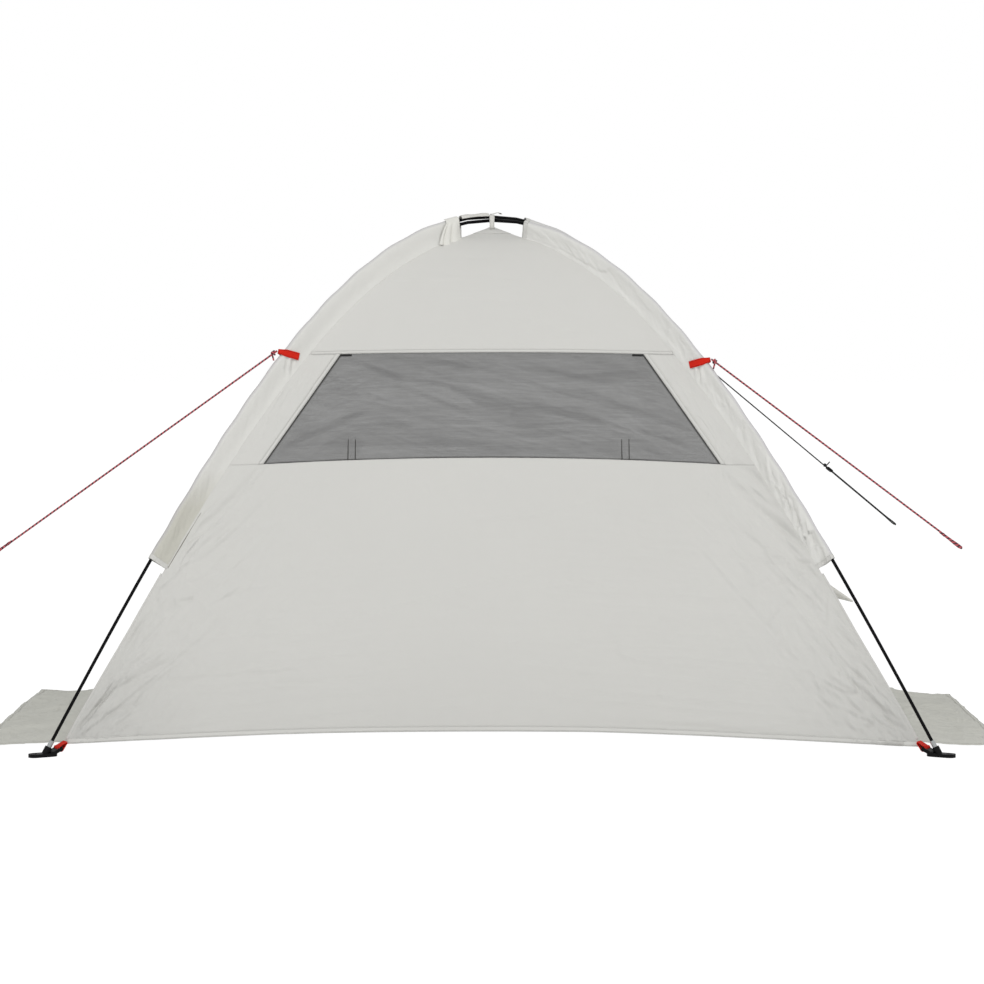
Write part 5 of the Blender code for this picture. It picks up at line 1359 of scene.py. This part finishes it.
# Corner loops: a band round the shoe's bar, both layers running to the canopy's hem corner
def addCornerLoops():
    for corner, (sideX, sideY) in corners.items():
        line = cornerPole[corner]
        place = 0.0 if sideY < 0 else line["length"]
        centre, _, ahead = (part[0] for part in poleAt(line, np.array([place])))
        down = -ahead if sideY < 0 else ahead
        foot = centre + webbing["tipLength"] * down
        out = unit(np.array([sideX * tent["halfSpan"], sideY * tent["halfDepth"], 0.0]))
        sideways = np.cross(up, out)
        endX = hemShare * diagonal - float(foot @ out) + 0.001
        radius = webbing["wrapRadius"]
        towards = math.atan2(tent["hem"] - webbing["barZ"], endX - webbing["barX"])
        angles = np.linspace(towards - math.pi + math.radians(100),
                             towards - math.pi - math.radians(100), 19)
        arc = np.stack([webbing["barX"] + radius * np.cos(angles),
                        webbing["barZ"] + radius * np.sin(angles)], axis=1)
        gap = webbing["gap"]
        ends = np.array([[endX, tent["hem"] + gap]]), np.array([[endX, tent["hem"] - gap]])
        table = smoothRoute(np.concatenate([ends[0], arc, ends[1]]), 0.0015)
        path = np.array([foot[0], foot[1], 0.0]) + table[:, :1] * out + table[:, 1:] * up
        name = "cornerLoop" + titled(corner)
        # the strap lies flat round the bar and turns its face outwards towards the canopy
        turn = math.radians(webbing["turn"]) * smoothStep((table[:, 0] + 0.029) / 0.014)[:, None]
        facing = math.copysign(1.0, sideY * sideways[1])
        width = np.cos(turn) * sideways - np.sin(turn) * facing * up
        mesh = bandMesh(name, path, 2 * webbing["loopHalf"], webbing["thickness"],
                        np.cross(np.gradient(path, axis=0), width), 16, 6.0)
        addPiece(name, mesh, finishes["redWebbing"], ["corner_loop_" + nodeEnding[corner]])


addTabs()
addCornerLoops()
print("webbing made")


# Crown patch: four soft facets over the panels' tops, share 0 at the middle
def addCrownPatch():
    share = np.linspace(0.0002, 0.045, 16)[:, None]
    turn = np.linspace(0, 2 * np.pi, 65)[None, :-1]
    square = 1 / np.maximum(np.abs(np.cos(turn)), np.abs(np.sin(turn)))
    x = share * square * np.cos(turn)
    y = share * square * np.sin(turn)
    lift = 0.0007 + 0.0002 * np.sin(4 * turn) * share / 0.045
    grid = np.stack([x * tent["halfSpan"], y * tent["halfDepth"],
                     seamHeight(share + 0 * x) + lift], axis=-1)[::-1]
    mesh = surfaceMesh("crownPatch", grid, gridUv(grid, wrap=True), wrap=True)
    piece = addPiece("crownPatch", mesh, finishes["canopy"], ["crown_patch"],
                     thickness=0.0007, offset=0.0)


# Strap over the crossing poles, sewn to the patch
def addCrownStrap():
    top = tent["crownHeight"] + tent["poleSpacing"] + tent["poleRadius"] + 0.0012
    low = float(seamHeight(0.0125 / tent["halfDepth"])) + 0.0028
    bend = np.linspace(np.pi, 0, 21)
    arc = np.stack([0.0132 * np.cos(bend),
                    tent["crownHeight"] + (top - tent["crownHeight"]) * np.sin(bend) ** 0.5], axis=1)
    table = np.concatenate([[[-0.0132, low]], [[-0.0132, (low + arc[0, 1]) / 2]], arc,
                            [[0.0132, (low + arc[0, 1]) / 2]], [[0.0132, low]]])
    path = np.stack([0 * table[:, 0], table[:, 0], table[:, 1]], axis=1)
    mesh = bandMesh("crownStrap", path, 0.012, 0.0014,
                    np.cross(np.gradient(path, axis=0), np.array([1.0, 0.0, 0.0])), 16, 5.0)
    addPiece("crownStrap", mesh, finishes["creamWebbing"], ["crown_strap"])


# Strip folded over the upper pole between the left sleeve and the strap
def addCrownStrip():
    start = placeAtRun(upperPole, -0.075 * diagonal)
    end = placeAtRun(upperPole, -0.010 * diagonal)
    place = np.linspace(start, end, 50)
    centre, out, _ = poleAt(upperPole, place)
    a = np.radians(np.linspace(-78, 78, 15))
    run = (place - start)[:, None] / (end - start)
    radius = 0.0074 + 0.0009 * np.sin(9 * run + 2 * a) + 0.0006 * (1 - run)
    grid = (centre[:, None] + (radius * np.cos(a))[..., None] * out[:, None]
            + (radius * np.sin(a))[..., None] * upperPole["side"])
    mesh = surfaceMesh("crownTie", grid[:, ::-1], gridUv(grid))
    piece = addPiece("crownTie", mesh, finishes["creamWebbing"], ["crown_tie"],
                     thickness=0.0016)


# Free end of the strip, curling up past the strap
def addCrownTail():
    top = tent["crownHeight"] + tent["poleSpacing"] + 0.0066
    ahead = upperPole["heading"]
    table = ((-0.004, 0.0), (0.006, 0.0016), (0.014, 0.0036), (0.021, 0.0030), (0.026, 0.0004))
    path = smoothRoute([along * ahead + (top + rise) * up for along, rise in table], 0.0015)
    mesh = bandMesh("crownTieTail", path, 0.010, 0.0012, up, 14, 5.0)
    addPiece("crownTieTail", mesh, finishes["creamWebbing"])


addCrownPatch()
addCrownStrap()
addCrownStrip()
addCrownTail()


# Window cover, rolled down inside, and its ties
cover = {"radius": 0.0165, "core": 0.004, "turns": 4.5, "halfLength": 0.50, "drop": 0.030,
         "ties": (-0.32595, 0.31005), "laceWidth": 0.0019, "laceShift": 0.0085, "tieRise": 0.054,
         "depth": 0.0231, "laceRadius": 0.0178}


# Point and directions on the inside of the rear wall: up the cloth and into the tent
def wallFrame(x, share):
    step = 0.0005
    xs = np.array([[x - step, x, x + step]] * 3)
    shares = np.array([[share + step] * 3, [share] * 3, [share - step] * 3])
    grid = rearSurface(xs, shares, relief=False)
    rise = unit(grid[2, 1] - grid[0, 1])
    inward = unit(np.cross(rise, grid[1, 2] - grid[1, 0]))
    return grid[1, 1], rise, inward


def addCover():
    share = float(shareAtHeight(wall["windowBottom"] - cover["drop"]))
    _, rise, inward = wallFrame(0.0, share)
    x = np.linspace(-1, 1, 90) * cover["halfLength"]
    xs = np.stack([x, x, x])
    shares = np.full(xs.shape, share)
    line = rearSurface(xs + 0 * shares, shares + np.array([[0.0004], [0.0], [-0.0004]]),
                       relief=False)[1]
    middle = line + cover["depth"] * inward
    turns = np.linspace(0, 1, 130)[None, :]
    angle = 2 * np.pi * cover["turns"] * turns + 0.25 * np.sin(6 * x)[:, None]
    pinch = 1 - 0.10 * sum(np.exp(-((x - place) / 0.02) ** 2) for place in cover["ties"])
    wave = 1 + 0.03 * np.sin(14 * x)[:, None] * np.sin(angle)
    radius = (cover["core"] + (cover["radius"] - cover["core"] - 0.0006) * turns) * wave
    radius = radius * pinch[:, None]
    shift = 0.004 * np.sin(9 * x)[:, None] * turns ** 2
    grid = (middle[:, None] + (radius * np.cos(angle))[..., None] * rise
            + (radius * np.sin(angle))[..., None] * inward)
    grid[..., 0] += shift * np.sign(x)[:, None] * 0.3
    mesh = surfaceMesh("windowCoverRoll", grid, gridUv(grid))
    mesh.flip_normals()
    piece = addPiece("windowCoverRoll", mesh, finishes["canopy"], ["window_cover_roll"],
                     thickness=0.0006, offset=0.0)
    addCoverTies(share)


# Each tie is a pair of laces looped round the roll and sewn to the wall above it
def addCoverTies(share):
    for name, place in zip(("Left", "Right"), cover["ties"]):
        here, rise, inward = wallFrame(place, share)
        across = np.cross(rise, inward)
        centre = here + cover["depth"] * inward
        above, _, into = wallFrame(place, float(shareAtHeight(wall["windowBottom"]
                                                              + cover["tieRise"])))
        apex = above + 0.0050 * into
        reach = apex - centre
        towards = math.atan2(float(reach @ inward), float(reach @ rise))
        radius = cover["laceRadius"]
        half = math.acos(radius / float(np.linalg.norm(reach)))
        angles = np.linspace(towards + half, towards - half + 2 * math.pi, 25)
        arc = centre + radius * (np.cos(angles)[:, None] * rise + np.sin(angles)[:, None] * inward)
        up1 = arc[-1] + np.linspace(0.1, 1, 18)[:, None] * (apex - 0.0006 * into - arc[-1])
        down = (apex + 0.0010 * into) + np.linspace(0, 0.93, 18)[:, None] * (
            arc[0] - apex - 0.0010 * into)
        path = np.concatenate([down, arc, up1])
        laces = [path + aside * across for aside in (-cover["laceShift"], cover["laceShift"])]
        facing = np.cross(np.gradient(path, axis=0), across)
        for title, lace in zip(("A", "B"), laces):
            mesh = bandMesh("coverTie" + name + title, lace, cover["laceWidth"], 0.0009, facing, 14,
                            6.0)
            addPiece("coverTie" + name + title, mesh, finishes["creamWebbing"],
                     ["cover_tie_" + name.lower()])


# Hook-and-loop pads under the window's top corners
def addPads():
    for name, side in sides:
        low = float(shareAtHeight(wall["windowTop"] - 0.0055))
        x = np.sort(side * np.linspace(wall["topHalf"] - 0.0265, wall["topHalf"] - 0.0008, 14))
        xs = np.broadcast_to(x, (6, 14))
        shares = np.broadcast_to(np.linspace(low, windowHigh + 0.0005, 6)[:, None], (6, 14))
        grid = rearSurface(xs.copy(), shares.copy(), relief=False)
        mesh = surfaceMesh("hookPad" + name, grid, gridUv(grid))
        pad = addPiece("hookPad" + name, mesh, finishes["nap"], ["hook_pad_" + name.lower()],
                       thickness=0.0016)
        edge = pad.modifiers.new("softEdge", "BEVEL")
        edge.width = 0.0004
        edge.segments = 2
        edge.limit_method = "ANGLE"


addCover()
addPads()
print("crown, cover and pads made")


# Groundsheet
floorSheet = {"thickness": 0.0008, "inset": 0.0015, "rim": 0.93, "rearRim": 0.41, "sill": 0.012,
              "drop": 0.0008}


# Flat on the ground, with a rim that rises to the walls' hem and a sill at the entrance
def addGroundsheet():
    u = np.sin(np.linspace(-1, 1, 160) * np.pi / 2)[None, :]
    v = np.sin(np.linspace(-1, 1, 120) * np.pi / 2)[:, None]
    bow = (hemShare - tent["dip"]) * (1 - u ** 2)
    rear = -hemShare * tent["halfDepth"] + wall["rearSag"] * bow + floorSheet["inset"]
    front = hemShare * tent["halfDepth"] - floorSheet["inset"]
    x = u * (hemShare * tent["halfSpan"] - floorSheet["inset"]) + 0 * v
    y = rear + (v + 1) / 2 * (front - rear)
    rimZ = tent["hem"] - floorSheet["drop"]
    side = smoothStep((np.abs(u) - floorSheet["rim"]) / (1 - floorSheet["rim"])) * rimZ
    back = np.clip((-v - floorSheet["rearRim"]) / (1 - floorSheet["rearRim"]), 0, 1) ** 0.85 * (
        rimZ + wall["rearLift"] * bow)
    sill = smoothStep((v - floorSheet["rim"]) / (1 - floorSheet["rim"])) * floorSheet["sill"]
    z = np.maximum(np.maximum(side + 0 * v, back), sill + 0 * u)
    folds = 0.0030 * np.abs(creased(x / 0.45, y / 0.30, 41))
    folds = folds + 0.0015 * np.exp(-((x + 0.6 * y - 0.15) / 0.012) ** 2)
    folds = folds + 0.0015 * np.exp(-((x - 0.3 * y + 0.4) / 0.012) ** 2)
    z = z + 0.0002 + folds * smoothStep((0.9 - np.abs(u)) / 0.2) * smoothStep((0.9 - np.abs(v)) / 0.2)
    grid = np.stack([x, y, z], axis=-1)
    piece = addCloth("floorCloth", grid, finishes["floorSheet"], ["groundsheet"],
                     thickness=floorSheet["thickness"])
    piece.modifiers["clothThickness"].offset = 1.0


# Sand flaps
flap = {"width": 0.222, "thickness": 0.0011, "edge": 0.0296, "rearInset": 0.065, "rearTaper": 0.135,
        "frontInset": 0.045, "frontTaper": 0.020, "under": 0.0022, "tuck": 0.0080, "curl": 0.012,
        "draw": 0.018}


# Flap: falls from the side hem to the ground as (1 - w)^2, with soft waves and a hemmed rim
def flapSurface(w, v, side):
    hingeX = hemShare * tent["halfSpan"] + 0.0005
    rear = flap["rearInset"] + w * flap["rearTaper"] - tent["halfDepth"]
    front = tent["halfDepth"] - flap["frontInset"] - w * flap["frontTaper"]
    y = rear + v * (front - rear)
    # sewn under the hem tape and a little inwards of it: no slit shows, and it clears the wall
    root = flap["edge"] - flap["under"]
    z = root - (root - flap["thickness"] - 0.0004) * (1 - (1 - w) ** 2)
    across = w * flap["width"]
    swell = (0.0050 * np.abs(softNoise(y / 0.16, across / 0.12, 50 + side))
             + 0.0060 * np.abs(creased((y + 0.8 * across) / 0.13, (across - 0.2 * y) / 0.075, 52 + side))
             + 0.0050 * np.abs(creased((y - across) / 0.22, (across + 0.3 * y) / 0.16, 55 + side))
             )
    calm = 0.25 + 0.75 * smoothStep((1 - w) / 0.16) * smoothStep(v / 0.06) * smoothStep((1 - v) / 0.08)
    swell = swell * calm + calm * (
        0.0130 * np.abs(creased((y + 0.12 * across) / 0.125, across / 0.300, 58 + side))
        + 0.0060 * np.abs(creased((y - 0.2 * across) / 0.060, across / 0.150, 61 + side)))
    z = z + swell * smoothStep(w / 0.25)
    curl = smoothStep((w - 0.35) / 0.65) * smoothStep((v - 0.72) / 0.28)
    if side < 0:
        z = z + flap["curl"] * curl
        across = across - flap["draw"] * curl
    return np.stack([side * (hingeX + across - flap["tuck"] * (1 - w) ** 40), y, z], axis=-1)


def addFlaps():
    for name, side in sides:
        w = np.linspace(0, 1, 60)[None, :]
        v = np.linspace(0, 1, 200)[:, None]
        grid = flapSurface(w + 0 * v, v + 0 * w, side)[:, ::side]
        body = "flap_" + name.lower()
        addCloth("sandFlap" + name, grid, finishes["flap"], ["sand_flap_" + name.lower()],
                 body=body,
                 thickness=flap["thickness"])
        # hem round the three free edges
        t = np.linspace(0, 1, 60)
        w1 = np.concatenate([t, np.ones(118), t[::-1]])
        v1 = np.concatenate([np.zeros(60), np.linspace(0, 1, 120)[1:-1], np.ones(60)])
        w0, v0 = 0.945 * w1, 0.0112 + (1 - 0.0224) * v1
        outer, inner = (flapSurface(a[None] + np.zeros((3, 1)), b[None] + np.zeros((3, 1)), side)[1]
                        for a, b in ((w1, v1), (w0, v0)))
        lift = np.array([0.0, 0.0, 1.0]) * np.ones((len(w1), 1))
        first, second = (inner, outer) if side > 0 else (outer, inner)
        mesh = tapeMesh("flapHem" + name, first, second, lift, 0.0003, 5, 0.0003)
        hem = addPiece("flapHem" + name, mesh, finishes["flapHem"], body=body,
                       thickness=0.0005, offset=0.0)


# Small tab on the right wall: a folded point of cloth
def addSideTab():
    roots = []
    for height in (0.338, 0.395):
        share = np.full((3, 3), float(shareAtHeight(height)))
        along = np.full((3, 3), -0.300 / (share[0, 0] * tent["halfDepth"]))
        rise = (hemShare - share[0, 0]) / (hemShare - tent["dip"])
        sag = 4 * wall["sideSag"] * rise * (1 - rise) * (1 - along[0, 0] ** 2)
        roots.append(np.array([share[0, 0] * tent["halfSpan"] - sag + 0.0004, -0.300, height]))
    tip = np.array([0.842, -0.310, 0.322])
    w = np.linspace(0, 1, 24)[:, None]
    v = np.linspace(0, 1, 14)[None, :]
    root = roots[0] + v[..., None] * (roots[1] - roots[0])
    end = tip + v[..., None] * np.array([0.0, 0.0, 0.004])
    grid = root + w[..., None] * (end - root)
    bend = 0.004 * np.sin(np.pi * w) * np.sin(np.pi * v) + 0.002 * np.sin(9 * w) * v
    grid = grid + bend[..., None] * np.array([0.2, -1.0, 0.0])
    addCloth("sideTab", grid.transpose(1, 0, 2), finishes["cuff"], ["side_tab"])


addGroundsheet()
addFlaps()
addSideTab()
print("groundsheet and flaps made")


# The CAD pieces that stay get their finishes
nodeFinishes = {"pole_tip": "tip", "pole_": "pole", "shock_cord": "elastic", "shoe": "plastic",
                "rope_tensioner": "plastic"}
for nodeName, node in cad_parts.items():
    for start, finish in nodeFinishes.items():
        if nodeName.startswith(start):
            for place in node.material_slots:
                place.material = finishes[finish]
            break

print("finishing")
